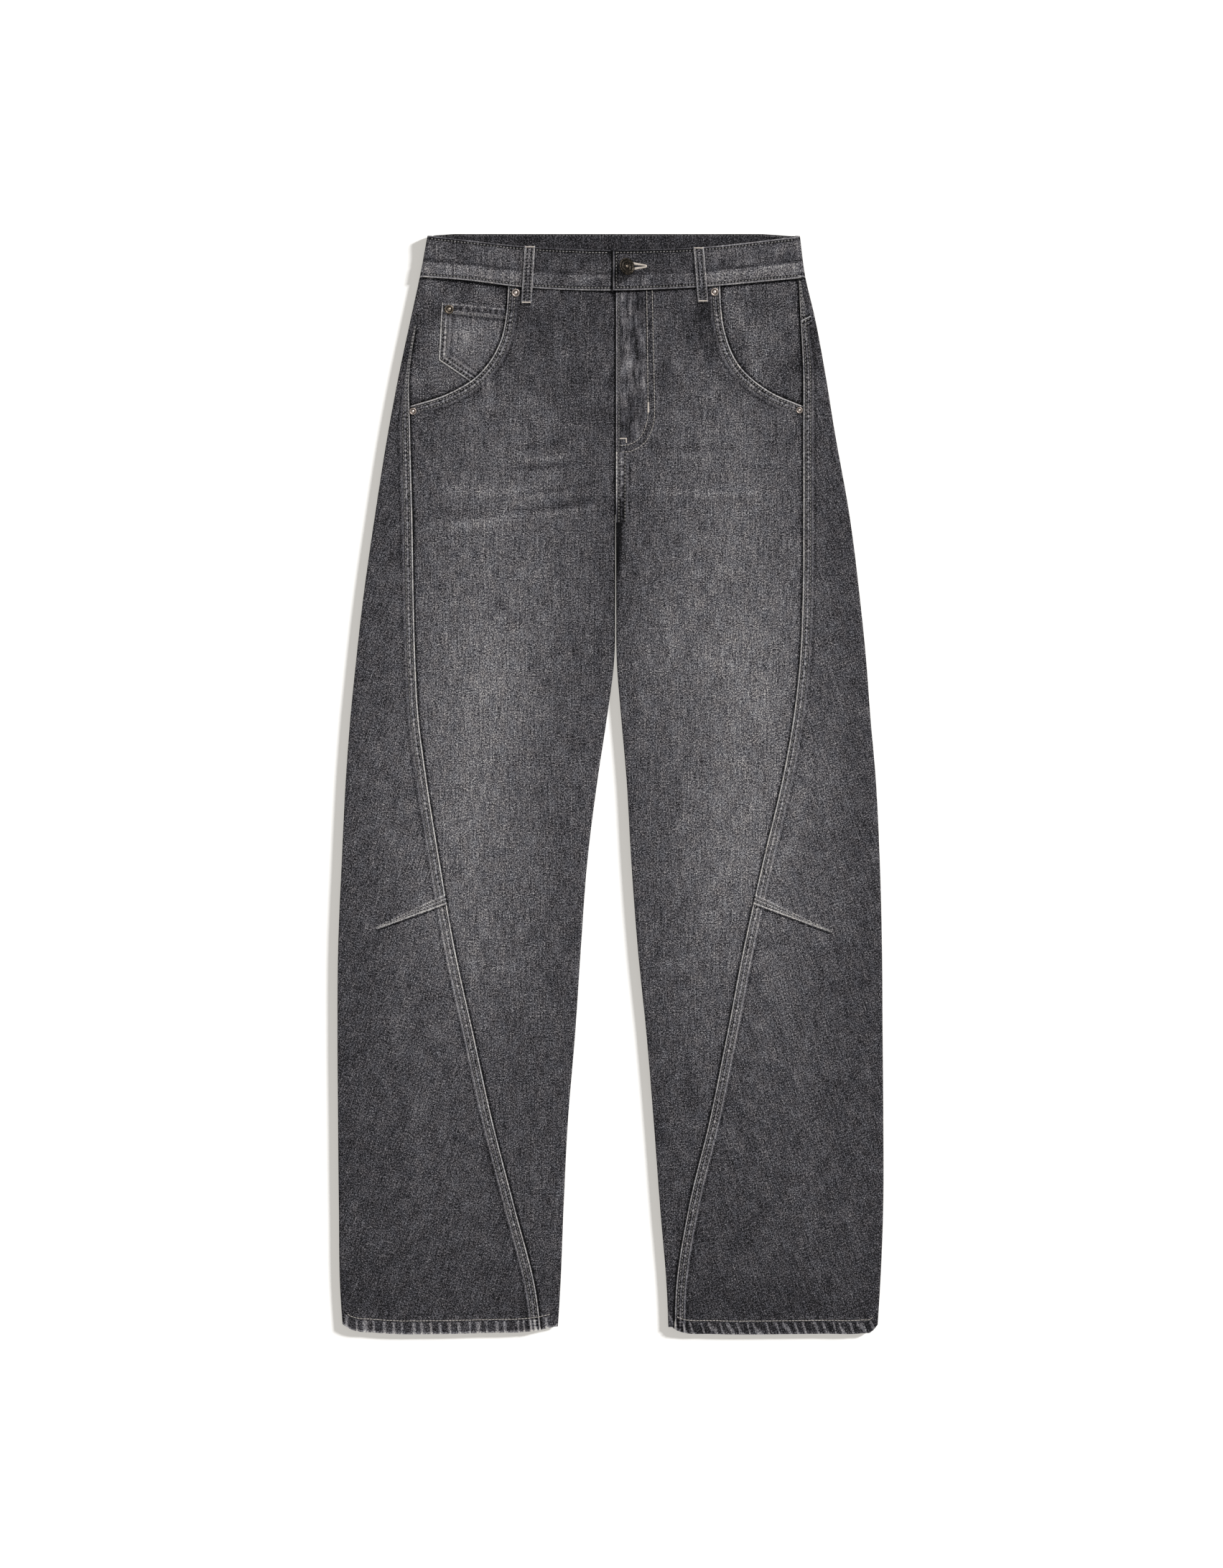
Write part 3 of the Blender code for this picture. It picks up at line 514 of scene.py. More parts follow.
# %% [markdown]
# ## Tone of the wash
# Stone washing leaves the thighs and knees light and the folds, calves and hems dark. The level of
# grey is given for the middle and the edges of a leg at a few heights, with soft patches on top.
# Levels are of 255 as the eye sees them, because that is how a wash is judged.

# %% Tone of the wash
WASH = [
    (-526, 62, 69), (-450, 68, 75), (-320, 72, 80), (-200, 74, 89), (-130, 77, 98), (-60, 78, 104),
    (60, 78, 106), (200, 77, 102), (300, 77, 96), (380, 73, 84), (440, 68, 72), (526, 68, 74)
]
WASH_POWER = {"right": 2.0, "left": 1.6}
PATCHES = [
    (88, 447, 6, 13, -18), (97, 418, 6, 15, -16), (-112, 60, 38, 110, 3), (57, 150, 14, 50, 6),
    (32, 110, 16, 110, 8), (110, 338, 50, 25, 6), (130, 90, 45, 90, 5), (150, -495, 70, 26, -9),
    (-190, -480, 60, 50, -3), (-215, -70, 20, 90, 3), (90, -60, 40, 60, 5), (-85, -200, 30, 60, 4),
    (75, -200, 28, 70, 8), (-60, 430, 30, 30, -4), (70, 440, 30, 30, -5), (-30, 300, 26, 60, -4),
    (90, 380, 30, 30, 5), (15, 390, 7, 45, 18), (16, 445, 9, 22, 16), (17, 350, 8, 12, -16),
    (30, 350, 5, 30, 7), (24, 415, 12, 45, 9), (-150, -130, 40, 40, 4), (120, -110, 40, 50, 4),
    (-120, 165, 30, 35, -6), (212, 50, 14, 50, 5), (-215, -70, 18, 40, -4)
]
OUTER_PANEL = -4.0
FACING_LEVEL, COIN_LEVEL, BAND_LEVEL, BAND_INSIDE_LEVEL, LOOP_LEVEL = 78, 91, 68, 58, 88
MOTTLED_FROM = (330.0, 400.0)
INSIDE_DARKER = 16


def wash(side, x, y):
    """Grey level: edge to middle across the leg, plus bells for the patches and the creases."""
    up, rim_level, middle_level = np.array(WASH).T
    across = np.clip((x - side.outer(y)) / (side.inner(y) - side.outer(y)), 0, 1)
    rim, middle = np.interp(y, up, rim_level), np.interp(y, up, middle_level)
    level = rim + (middle - rim) * np.sin(pi * across) ** WASH_POWER[side.name]
    for cx, cy, rx, ry, amount in PATCHES:
        level = level + amount * bell(x, cx, rx) * bell(y, cy, ry)
    level = level + 3.0 * clouds(x, y, 26, 60, 7) + 2.0 * clouds(x, y, 9, 22, 8)
    mottled = 7.0 * clouds(x, y, 9, 13, 9) + 6.0 * clouds(x, y, 17, 24, 10)
    level = level + mottled * step(y, *MOTTLED_FROM)
    # The creases' column of tone: the wash's wear, and painted shade in the troughs.
    return level + creases(x, y, CREASE_WEAR_AND_SHADE)


print("grey on the right thigh:", wash(RIGHT, np.array(-110.0), np.array(100.0)).round(1))

# %% [markdown]
# ## A shell of cloth
# Every piece of cloth is a closed thin shell: an outer grid of points, an inner grid one wall away,
# and a strip of faces round the rim. Solidify would do the same, but here the wall changes at the
# hem, and each point carries its own numbers for the shader, so both grids are given.

# %% A shell of cloth
PIECES = {}
SHARP = 50
CARRIED = {"rim": (FAR, 0, ONE_ROW), "lap": (FAR, 0, 0), "rows": (FAR, 0, 0), "dart": (FAR, 0, 0),
           "hem": (FAR, 0, 0), "weave": (0, 0, 0), "rub": (1, 0, 0)}
SAME_INSIDE = ("hem", "weave", "rub")


def grid_faces(rows, columns, start):
    """Corners of each cell of a grid whose points are numbered row by row."""
    r, c = np.meshgrid(np.arange(rows - 1), np.arange(columns - 1), indexing="ij")
    first = (start + r * columns + c).ravel()
    return np.stack([first, first + 1, first + columns + 1, first + columns], axis=1)


def rim_faces(rows, columns):
    """Faces that join the rims of the outer and the inner grid."""
    index = np.arange(rows * columns).reshape(rows, columns)
    rim = np.concatenate([index[:, 0], index[-1, 1:], index[-2::-1, -1], index[0, -2:0:-1]])
    ahead = np.roll(rim, -1)
    inner = rows * columns
    return np.stack([rim, ahead, ahead + inner, rim + inner], axis=1)


def volume(co, faces):
    """Signed volume inside the faces: the sum of the cones from the origin to each half face."""
    a, b, c, d = (co[faces[:, i]] for i in range(4))
    return ((a * np.cross(b, c)).sum() + (a * np.cross(c, d)).sum()) / 6


def finish_mesh(name, co, faces, material, carried=None, tones=None):
    """Object from places in millimetres, a list of faces, and what each point carries."""
    mesh = bpy.data.meshes.new(name)
    mesh.from_pydata((co * MM).tolist(), [], faces)
    for key, values in (carried or {}).items():
        layer = mesh.attributes.new(key, "FLOAT_VECTOR", "POINT")
        layer.data.foreach_set("vector", values.astype(np.float32).ravel())
    if tones is not None:
        layer = mesh.attributes.new("tone", "FLOAT", "POINT")
        layer.data.foreach_set("value", (tones / 255).astype(np.float32).ravel())
    mesh.shade_smooth()
    mesh.materials.append(material)
    made = bpy.data.objects.new(name, mesh)
    bpy.context.scene.collection.objects.link(made)
    PIECES[name] = made
    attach(made, "root")
    return made


def shell(name, outside, inside, material, tones, inside_tones=None, **carried):
    """A closed wall of cloth between two grids. carried holds three numbers for each outer point."""
    rows, columns = outside.shape[:2]
    co = np.concatenate([outside.reshape(-1, 3), inside.reshape(-1, 3)])
    faces = np.concatenate([grid_faces(rows, columns, 0),
                            grid_faces(rows, columns, rows * columns)[:, ::-1],
                            rim_faces(rows, columns)[:, ::-1]])
    if volume(co, faces) < 0:
        faces = faces[:, ::-1]
    both = {}
    for key, far in CARRIED.items():
        value = carried.get(key, far)
        pair = (value, value if key in SAME_INSIDE else far)
        both[key] = np.concatenate([np.broadcast_to(np.asarray(v, float), outside.shape) for v in pair])
    pair = (tones, tones if inside_tones is None else inside_tones)
    tones = np.concatenate([np.broadcast_to(t, (rows, columns)) for t in pair])
    made = finish_mesh(name, co, faces.tolist(), material, both, tones)
    made.data.set_sharp_from_angle(angle=radians(SHARP))
    made["flat"] = flat_size(outside)
    print(f"{name}: {rows} x {columns} points a face, flat {made['flat'][0]:.0f} x "
          f"{made['flat'][1]:.0f} mm, {made['flat'][2] / 100:.0f} cm2")
    return made


def flat_size(outside):
    """Width, length and area of a grid when it is smoothed out flat."""
    across = np.linalg.norm(np.diff(outside, axis=1), axis=-1).sum(axis=1).max()
    along = np.linalg.norm(np.diff(outside, axis=0), axis=-1).sum(axis=0).max()
    a = np.diff(outside, axis=0)[:, :-1]
    b = np.diff(outside, axis=1)[:-1]
    return [float(across), float(along), float(np.linalg.norm(np.cross(a, b), axis=-1).sum())]


# %% [markdown]
# ## Node maths as Python
# A shader is a formula, and a formula of hundreds of nodes is hard to read as links. This class
# wraps a node's output, so that a + b adds a Math node and returns its output wrapped in turn.

# %% Node maths as Python
class Wire:
    """A node's output socket that can be used in sums. The tree is the material's being made."""

    tree = None

    def __init__(self, socket):
        self.socket = socket

    @classmethod
    def node(cls, kind, settings=None, output=0, **inputs):
        """Add a node: its settings first, then its inputs by name, or by number as n0, n1."""
        made = cls.tree.nodes.new(kind)
        for key, value in (settings or {}).items():
            setattr(made, key, value)
        for key, value in inputs.items():
            named = key.replace("_", " ")
            connect(value, made.inputs[int(key[1:])] if key[1:].isdigit() else made.inputs[named])
        return cls(made.outputs[output])

    def by(operation):
        """A method that adds a Math node of one kind, fed with the wire and then the others."""
        def method(self, *others):
            inputs = {f"n{i}": value for i, value in enumerate((self, *others))}
            return Wire.node("ShaderNodeMath", {"operation": operation}, **inputs)
        return method

    __add__ = __radd__ = by("ADD")
    __mul__ = __rmul__ = by("MULTIPLY")
    __sub__, __truediv__, __pow__ = by("SUBTRACT"), by("DIVIDE"), by("POWER")
    least, most, size, cosine = by("MINIMUM"), by("MAXIMUM"), by("ABSOLUTE"), by("COSINE")

    def __rsub__(self, other):
        """other - self, for a plain number on the left."""
        return (self * -1.0) + other

    def wave(self, pitch):
        """From 0 to 1 and back once in every pitch."""
        return (self * (2 * pi / pitch)).cosine() * 0.5 + 0.5

    def rise(self, low, high):
        """0 below low, 1 above high, smooth between."""
        settings = {"interpolation_type": "SMOOTHSTEP"}
        return Wire.node("ShaderNodeMapRange", settings, Value=self, From_Min=low, From_Max=high)

    def bell(self, centre, half):
        """1 at centre and 0 from half away."""
        return 1.0 - (self - centre).size().rise(0.0, half)

# %% [markdown]
# ## Small helpers for shaders
# Every material here needs the same few nodes: what the points carry, the place on the object, soft
# noise, and the shader to plug the sums into. Each gets a function, so that a material reads as a
# list of what is seen on the real thing.

# %% Small helpers for shaders
def connect(value, socket):
    """Link a wire to an input socket, or set the socket to a plain value."""
    if isinstance(value, Wire):
        Wire.tree.links.new(value.socket, socket)
    else:
        socket.default_value = value


def split(wire):
    """The three numbers of a vector."""
    made = Wire.tree.nodes.new("ShaderNodeSeparateXYZ")
    Wire.tree.links.new(wire.socket, made.inputs[0])
    return [Wire(output) for output in made.outputs]


def join(x, y, z=0.0):
    """A vector of three numbers."""
    return Wire.node("ShaderNodeCombineXYZ", X=x, Y=y, Z=z)


def carried(name):
    """What the surface's points carry under this name, as three numbers."""
    return split(Wire.node("ShaderNodeAttribute", {"attribute_name": name}, "Vector"))


def carried_tone():
    """The one number that the surface's points carry as their tone."""
    return Wire.node("ShaderNodeAttribute", {"attribute_name": "tone"}, "Fac")


def object_place():
    """Where the surface is on its object, in metres, as three numbers."""
    return split(Wire.node("ShaderNodeTexCoord", None, "Object"))


def noise(place, detail=0.0, rough=0.5):
    """Soft noise from -1 to 1 about a place given in its own units."""
    value = Wire.node("ShaderNodeTexNoise", {"noise_dimensions": "3D"}, Vector=place, Scale=1.0,
                      Detail=detail, Roughness=rough)
    return (value - 0.5) * 3.0


def material(name):
    """A new material, its shader node, and its tree as the one that Wire adds to."""
    made = bpy.data.materials.new(name)
    made.use_nodes = True
    Wire.tree = made.node_tree
    return made, made.node_tree.nodes["Principled BSDF"]


def plug(shader, **inputs):
    """Link or set the shader's own sockets."""
    for key, value in inputs.items():
        connect(value, shader.inputs[key.replace("_", " ")])


# %% [markdown]
# ## Denim beside a turned edge
# At a turned edge the fold is rubbed pale, beside each row of stitches is a dark groove with needle
# holes, and the cloth between two rows puckers into light and dark cells. It could be painted, but
# the distance from the edge and the way along it are enough to draw it with bells and noise.

# %% Denim beside a turned edge
PITCH = 3.15
FIRST_ROW = 2.6
SECOND_ROW = 6.9


def rim_look(name, seed):
    """Level and height beside a turned edge. d is the distance from it and s runs along it."""
    d, s, second = carried(name)
    slow = noise(join(s / 14.0, seed))
    quick = noise(join(s / 2.2, seed + 9.0))
    one_row = 1.0 - second.rise(-50.0, 0.0)
    lower = s.rise(450.0, 680.0) * (1.0 - one_row)
    ridge = d.bell(0.45, 1.55) * (1.0 - one_row * 0.45)
    groove = d.bell(FIRST_ROW, 1.8) + (d - second).bell(0.0, 1.4) * 0.8
    holes = s.wave(PITCH)
    inside = d.rise(1.8, 3.4) * (1.0 - (d - second).rise(-1.6, 0.0))
    pale = inside * d.bell(5.0, 1.8)
    pucker = noise(join(s / 2.3, d / 4.5, seed + 4.0), 1.0)
    verge = (d - second).bell(2.1, 1.7)
    beyond = (d - second).bell(4.7, 2.3)
    level = ridge * (0.40 + slow * 0.10 + quick * 0.16)
    level = level - groove * (0.04 + holes * 0.33)
    level = level + inside * pucker * 0.36 + pale * (0.16 + lower * 0.02)
    level = level + verge * (0.07 + lower * 0.13 + quick * 0.09 + slow * 0.04)
    level = level - beyond * (0.07 + slow * 0.04)
    height = inside * pucker * 0.16 - groove * 0.22 + ridge * quick * 0.06
    clear = (d.rise(second + 1.0, second + 5.0) * (1.0 - one_row)).most(d.rise(2.5, 4.5) * one_row)
    calm = clear * 0.5 + 0.5
    return level, height, calm

print("a stitch every", PITCH, "mm, in rows", FIRST_ROW, "and", SECOND_ROW, "mm from a turned edge")

# %% [markdown]
# ## Denim at the knee dart
# The dart is a fold that closes to a point, so its marks are given as shares of its height. Its
# edge is rubbed pale, it shades the cloth below, and two rows of stitches run along it.

# %% Denim at the knee dart
def dart_look():
    """Level, height and cover of a fold whose lower edge is at d = 0 and whose cloth is above it."""
    d, s, strength = carried("dart")
    room = (8.3 - s * 0.085).most(1.8)
    share = d / room
    quick = noise(join(s / 2.4, 61.0))
    ridge = d.bell(0.8, 1.6)
    # Painted shadow on the cloth just below the dart's edge.
    under = (0.0 - d).bell(0.9, 1.9)
    rows = share.bell(0.40, 0.17) + share.bell(0.82, 0.16)
    pale = share.bell(0.61, 0.17) + share.bell(1.04, 0.19)
    level = ridge * (0.42 + quick * 0.10) - under * 0.22 - rows * (0.06 + s.wave(PITCH) * 0.14)
    level = level + pale * (0.23 + quick * 0.08)
    height = ridge * 0.25 - under * 0.2 - rows * 0.15
    cover = share.rise(-0.15, 0.05) * (1.0 - share.rise(1.0, 1.15))
    return level * strength, height * strength, cover * strength

# %% [markdown]
# ## Denim
# Denim is a twill of dark warp and pale weft, and a stone wash rubs the dark off wherever the cloth
# stands up. So the colour is one grey level: the wash, plus salt and pepper grain along the yarns,
# plus what the seams do. Where another piece lies over this one a painted shadow darkens the cloth
# beside its edge, and the hem ropes into slanted bars. A scanned texture would bring its own light
# along; a formula stays sharp from near and can follow each seam.

# %% Denim
BAR_PITCH = 9.0
GRAIN_LIGHTENS = 0.027
DARKEST, LIGHTEST = 0.07, 0.80
LEVEL_POWER = 2.25


def denim():
    """The one cloth of the garment. All that differs between pieces is carried by their points."""
    made, shader = material("denim")
    u, v, turn = carried("weave")
    level = carried_tone()

    salt = noise(join(u / 0.80, v / 1.00, turn))
    grain = noise(join(u / 1.35, v / 1.7, turn + 3.0))
    clot = noise(join(u / 4.2, v / 6.0, turn + 5.0), 1.0)
    warp = noise(join(u / 1.3, v / 15.0, turn + 6.0))
    slub = noise(join(u / 1.6, v / 50.0, turn + 7.0))
    weft = noise(join(u / 14.0, v / 1.25, turn + 9.0))
    cloud = noise(join(u / 14.0, v / 26.0, turn + 13.0), 2.0)
    hue = noise(join(u / 9.0, v / 12.0, turn + 15.0))
    rub, fly_streaks = carried("rub")[:2]
    rim_level, rim_height, calm = rim_look("rim", 20.0)
    dart_level, dart_height, dart_mask = dart_look()
    rubbed = (0.10 + level * 0.55) * rub * calm
    level = level + rubbed * (salt + grain * 0.55) + clot * 0.05 + (warp * 0.20 + slub * 0.10) * level
    streaks = noise(join(u / 3.0, v / 15.0, 71.0), 1.0) + noise(join(u / 7.0, v / 22.0, 72.0)) * 0.6
    level = level + fly_streaks * streaks * 0.16
    level = level + weft * 0.03 + cloud * 0.05 - GRAIN_LIGHTENS
    height = salt * 0.04 + grain * 0.04 + clot * 0.03 + warp * 0.02 + slub * 0.02

    d, s = carried("lap")[:2]
    # Painted shadow beside the edge of a piece that lies over this one: a dark line and a softer, uneven
    # halo.
    near = 1.0 - d.rise(0.6, 3.0)
    lap_shadow_halo = 1.0 - d.rise(0.5, 7.0)
    fan = noise(join(s / 2.4, d / 9.0, 31.0))
    level = level + rim_level * (1.0 - dart_mask * 0.8) + dart_level
    level = level - near * 0.22 - lap_shadow_halo * (0.035 + fan * 0.07)
    height = height + rim_height + dart_height + lap_shadow_halo * fan * 0.08

    d, s, second = carried("rows")
    groove = d.size().bell(0.0, 0.9) + (d - second).size().bell(0.0, 0.9)
    inside = d.rise(0.6, 1.6) * (1.0 - (d - second).rise(-1.6, -0.4))
    cells = noise(join(s / 2.8, d / 4.0, 41.0), 1.0)
    beside = (d - second).bell(2.2, 2.2) + (0.0 - d).bell(2.2, 2.2)
    level = level - groove * (0.06 + s.wave(PITCH) * 0.12) + inside * (cells * 0.14 - 0.02)
    level = level + beside * (0.04 + cells * 0.06)
    height = height - groove * 0.2 + inside * cells * 0.14

    d, s, strength = carried("hem")
    within = (1.0 - d.rise(10.6, 11.6)) * strength
    left = s.rise(-30.0, 30.0)
    slant = left * 0.38 + 0.06 + noise(join(s / 60.0, 52.0)) * 0.15
    roping = noise(join(s / 12.0, 51.0)) * 4.5 + d * slant
    torn = noise(join(s / 1.8, d / 4.0, 53.0), 1.0) * 0.16
    bars = ((s + roping).wave(BAR_PITCH) + torn).rise(0.55, 1.0)
    worn = (1.0 - d.rise(0.4, 2.8)) * strength
    above = d.bell(15.0, 3.0) * strength
    level = level + within * (bars * 0.24 + 0.005 - left * 0.06) + worn * (0.24 - left * 0.14 + torn * 0.3)
    level = level - d.bell(HEM_DEPTH, 0.9) * strength * 0.10 + above * bars * 0.06
    height = height + within * bars * 0.2 - d.bell(HEM_DEPTH, 1.0) * strength * 0.3

    level = level.most(DARKEST).least(LIGHTEST)
    grey = level ** LEVEL_POWER
    warm = hue * 0.025
    colour = Wire.node("ShaderNodeCombineColor", Red=grey * (warm + 1.0), Green=grey * 0.96,
                       Blue=grey * (1.16 - level * 0.33 - warm))
    bump = Wire.node("ShaderNodeBump", Height=height, Strength=1.0, Distance=MM)
    plug(shader, Base_Color=colour, Roughness=(0.86 + salt * 0.05).least(1.0), Normal=bump,
         Specular_IOR_Level=0.12)
    return made


DENIM_LOOK = denim()
print("denim shader:", len(DENIM_LOOK.node_tree.nodes), "nodes")

# %% [markdown]
# ## The lines of a back panel
# The back panel's front edge is turned in and topstitched twice along the swept seam, its upper edge
# is the yoke seam, and a dart at the knee gives the leg its barrel form. These lines are short
# formulas, because the cloth, its wear and its stitches all have to follow the same ones.

# %% The lines of a back panel
SEAM_COLUMNS = np.array([0, 0.35, 0.9, 1.5, 2, 2.5, 3.2, 4.2, 5.3, 6.4, 7.2, 8.1, 9.1, 10.1, 11.2])
SEAM_FORM = [
    (0, 0.05), (0.35, 0.45), (0.9, 0.72), (1.5, 0.64), (2, 0.46), (2.5, 0.36), (3.2, 0.52), (4.7, 0.66),
    (6.4, 0.52), (7.2, 0.38), (8.6, 0.52), (10.1, 0.22), (11.2, 0)
]
ROW_SPACING = 2.3
TOP_COLUMNS = 50
YOKE_BENDS = 361.0
YOKE_SEEN = 380.0
HEM_BENDS = -455.0
BACK_GRAIN = radians(18)


def seam_form(d, s, seed):
    """Height of a topstitched edge above its panel: a rounded fold, two grooves, small puckers."""
    form = edge(SEAM_FORM, d)
    window = step(d, 1.9, 3.5) * (1 - step(d, 6.0, 7.6))
    return form + window * 0.16 * wander(s, 4.2, seed)


def fold_width(side, y):
    """From the swept seam to where the outer fold starts."""
    return np.abs(side.outer(y) - side.sign * FOLD_REACH - side.seam(y))


def squeeze(side, y):
    """The stitched edge is pressed narrow where the fold is close to the seam."""
    return np.minimum(1.0, 0.72 * fold_width(side, y) / SEAM_COLUMNS[-1])


def dart_fall(rows, reach):
    """How far each row drops, a distance out from the seam, so that rows follow the dart."""
    knots = [DART_EASES[0], DART_LOWER, DART_UPPER, DART_EASES[1]]
    return np.interp(rows, knots, [0.0, DART_LOWER_FALL, DART_UPPER_FALL, 0.0]) * reach


SEAM_STARTS = {"right": 438.0, "left": 600.0}


def seam_hidden(side, y):
    """1 where the swept seam runs out of sight on the outer fold, 0 below that."""
    return step(y, SEAM_STARTS[side.name] - 4, SEAM_STARTS[side.name] + 4)


def yoke_line(part, value, width):
    """The yoke seam: it rises to the outer fold and falls again to the middle of the back."""
    if part == "top":
        return YOKE_AT_FOLD - YOKE_RISE * (width - value)
    share = value if part == "under" else 0.0
    return YOKE_AT_FOLD + (YOKE_AT_MIDDLE - YOKE_AT_FOLD) * share + 0 * width


def dart_edge(reach):
    """Lower edge of the dart, a distance out from the seam."""
    return DART_LOWER - DART_LOWER_FALL * reach


def dart_room(reach):
    """How tall the dart is, a distance out from the seam."""
    return np.maximum(DART_UPPER - DART_LOWER - (DART_UPPER_FALL - DART_LOWER_FALL) * reach, 0.4)


def dart_taper(side, reach):
    """How much of the dart's lift is left: the root of the share of its length still to go."""
    return DART_LIFT * np.clip(1 - reach / DART_LENGTH[side.name], 0, 1) ** 0.5

print("from seam to fold at the knee:", [fold_width(side, -120.0).round(1) for side in SIDES], "mm")

# %% [markdown]
# ## A panel wrapped round the leg
# A back panel and its yoke lie on top as far as the outer fold, go round it and lie flat underneath
# as far as the middle. It could be modelled flat and bent, but one grid that walks along this line
# keeps its rows straight and its wall even, with columns close together where the stitched edge has
# form.

# %% A panel wrapped round the leg
def wrapped(side, rows, heights, lift, under_count, inner_count):
    """Outer and inner grids of a panel from the swept seam round to the middle.

    rows is the rough height of each row. heights(part, value, width) gives true heights down a
    column: value is the distance from the seam on "top" and a share of the way on "under".
    lift(distance, x, y) stands on the outer face.
    """
    width = fold_width(side, rows)
    near = SEAM_COLUMNS[:, None] * squeeze(side, rows)
    more = near[-1] + (width - near[-1]) * np.linspace(0, 1, TOP_COLUMNS)[1:-1, None]
    outside, inside, reach = [], [], []
    for distance in np.concatenate([near, more]):
        y = heights("top", distance, width)
        x = side.seam(y) + side.sign * distance
        z = side.height(x, y)
        raised = lift(distance / squeeze(side, y), x, y)
        outside.append(points(x, y, z + raised))
        inside.append(points(x, y, z - wall(y)))
        reach.append(distance / squeeze(side, y))
    for angle in np.linspace(90, -90, 15):
        y = heights("fold", angle, width)
        for depth, grid in ((0.0, outside), (wall(y), inside)):
            x, z = outer_fold(side, y, angle, depth)
            grid.append(points(x, y, z))
        reach.append(width + FAR)
    for share in np.arange(1, under_count + 1) / (under_count + 1):
        y = heights("under", share, width)
        start = side.outer(y) - side.sign * FOLD_REACH
        stop = side.back_end(y) + side.sign * FOLD_REACH
        x = start + (stop - start) * share
        outside.append(points(x, y, 0.0))
        inside.append(points(x, y, wall(y)))
        reach.append(width + FAR)
    y = heights("under", 1.0, width)
    for angle in np.linspace(-90, -0.001, inner_count):
        for depth, grid in ((0.0, outside), (wall(y), inside)):
            x, z = inner_fold(side, y, angle, depth, side.back_end(y), FOLD_REACH)
            grid.append(points(x, y, z))
        reach.append(width + FAR)
    return [np.stack(grid, axis=1) for grid in (outside, inside, reach)]

# %% [markdown]
# ## Back panels
# Each back panel is the largest piece. The knee dart bends its rows, so that a row runs along each
# of the dart's edges, and its lowest rows follow the curve of the hem. Its points carry how far
# they are from the turned edge, the dart and the hem.

# %% Back panels
def back(side):
    """The back panel with its swept seam, yoke seam and dart."""
    length = DART_LENGTH[side.name]
    fine = np.arange(YOKE_GUIDE, HEM_ROW, -ROW_SPACING)
    extra = [YOKE_GUIDE - d for d in (0.4, 0.9, 1.4)] + [HEM_ROW, HEM_LINE, HEM_ROW + 1.0]
    extra += [DART_UPPER, DART_LOWER, DART_LOWER + 0.6, DART_LOWER - 0.6, DART_LOWER + 1.3]
    rows = np.unique(np.concatenate([fine, extra]))[::-1]

    def heights(part, value, width):
        gone = value if part == "under" else 0
        reach = np.minimum(value, length) if part == "top" else length * (1 - gone)
        y = rows - dart_fall(rows, reach)
        y = y + (yoke_line(part, value, width) - GAP - YOKE_GUIDE) * step(rows, YOKE_BENDS, YOKE_GUIDE)
        if part == "top":
            x = side.seam(y) + side.sign * value
        elif part == "fold":
            x = side.outer(y) - side.sign * FOLD_REACH * (1 - cos(radians(value)))
        else:
            start = side.outer(y) - side.sign * FOLD_REACH
            x = start + (side.back_end(y) - start) * value
        return y + (side.hem(x) - HEM_ROW) * (1 - step(rows, HEM_ROW, HEM_BENDS))

    def lift(d, x, y):
        form = seam_form(d, y, 5)
        reach = np.abs(x - side.seam(y))
        above = y - dart_edge(reach)
        dart = dart_taper(side, reach) * step(above, -0.4, 0.5) * (1 - step(above, 6.0, 10.0))
        below = yoke_line("top", reach, fold_width(side, y)) - GAP - y
        yoke_form = np.where((y > YOKE_SEEN) & (side is LEFT), edge(SEAM_FORM, below), 0.0)
        return np.maximum(form, yoke_form) + dart

    outside, inside, reach = wrapped(side, rows, heights, lift, 6, 5)
    x, y = outside[..., 0], outside[..., 1]
    top = reach < FAR
    seam_s = np.interp(-y, -SEAM_LINE[side.name].path[:, 1], SEAM_LINE[side.name].knots)
    true_reach = np.abs(x - side.seam(y))
    below = yoke_line("top", true_reach, fold_width(side, y)) - GAP - y
    rim = points(np.where(top, reach, FAR) + FAR * seam_hidden(side, y), seam_s, SECOND_ROW)
    at_yoke = top & (below < reach) & (y > YOKE_SEEN) & (side is LEFT)
    rim = np.where(at_yoke[..., None], points(below, true_reach, SECOND_ROW), rim)
    above = y - dart_edge(true_reach)
    fades = np.where(top, 1 - step(true_reach, length - 4, length + 1), 0.0)
    dart = points(above, true_reach, fades)
    hem = points(y - side.hem(x), x, 1.0)
    level = wash(side, x, y) + OUTER_PANEL
    c, s = cos(BACK_GRAIN), sin(BACK_GRAIN) * side.sign
    weave = points(x * c + y * s, y * c - x * s, 2.0 + side.sign)
    return shell(f"back_panel_{side.name}", outside, inside, DENIM_LOOK, level, level - INSIDE_DARKER,
                 rim=rim, dart=dart, hem=hem, weave=weave)


for side in SIDES:
    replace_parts(back(side), f"back_{side.name}")
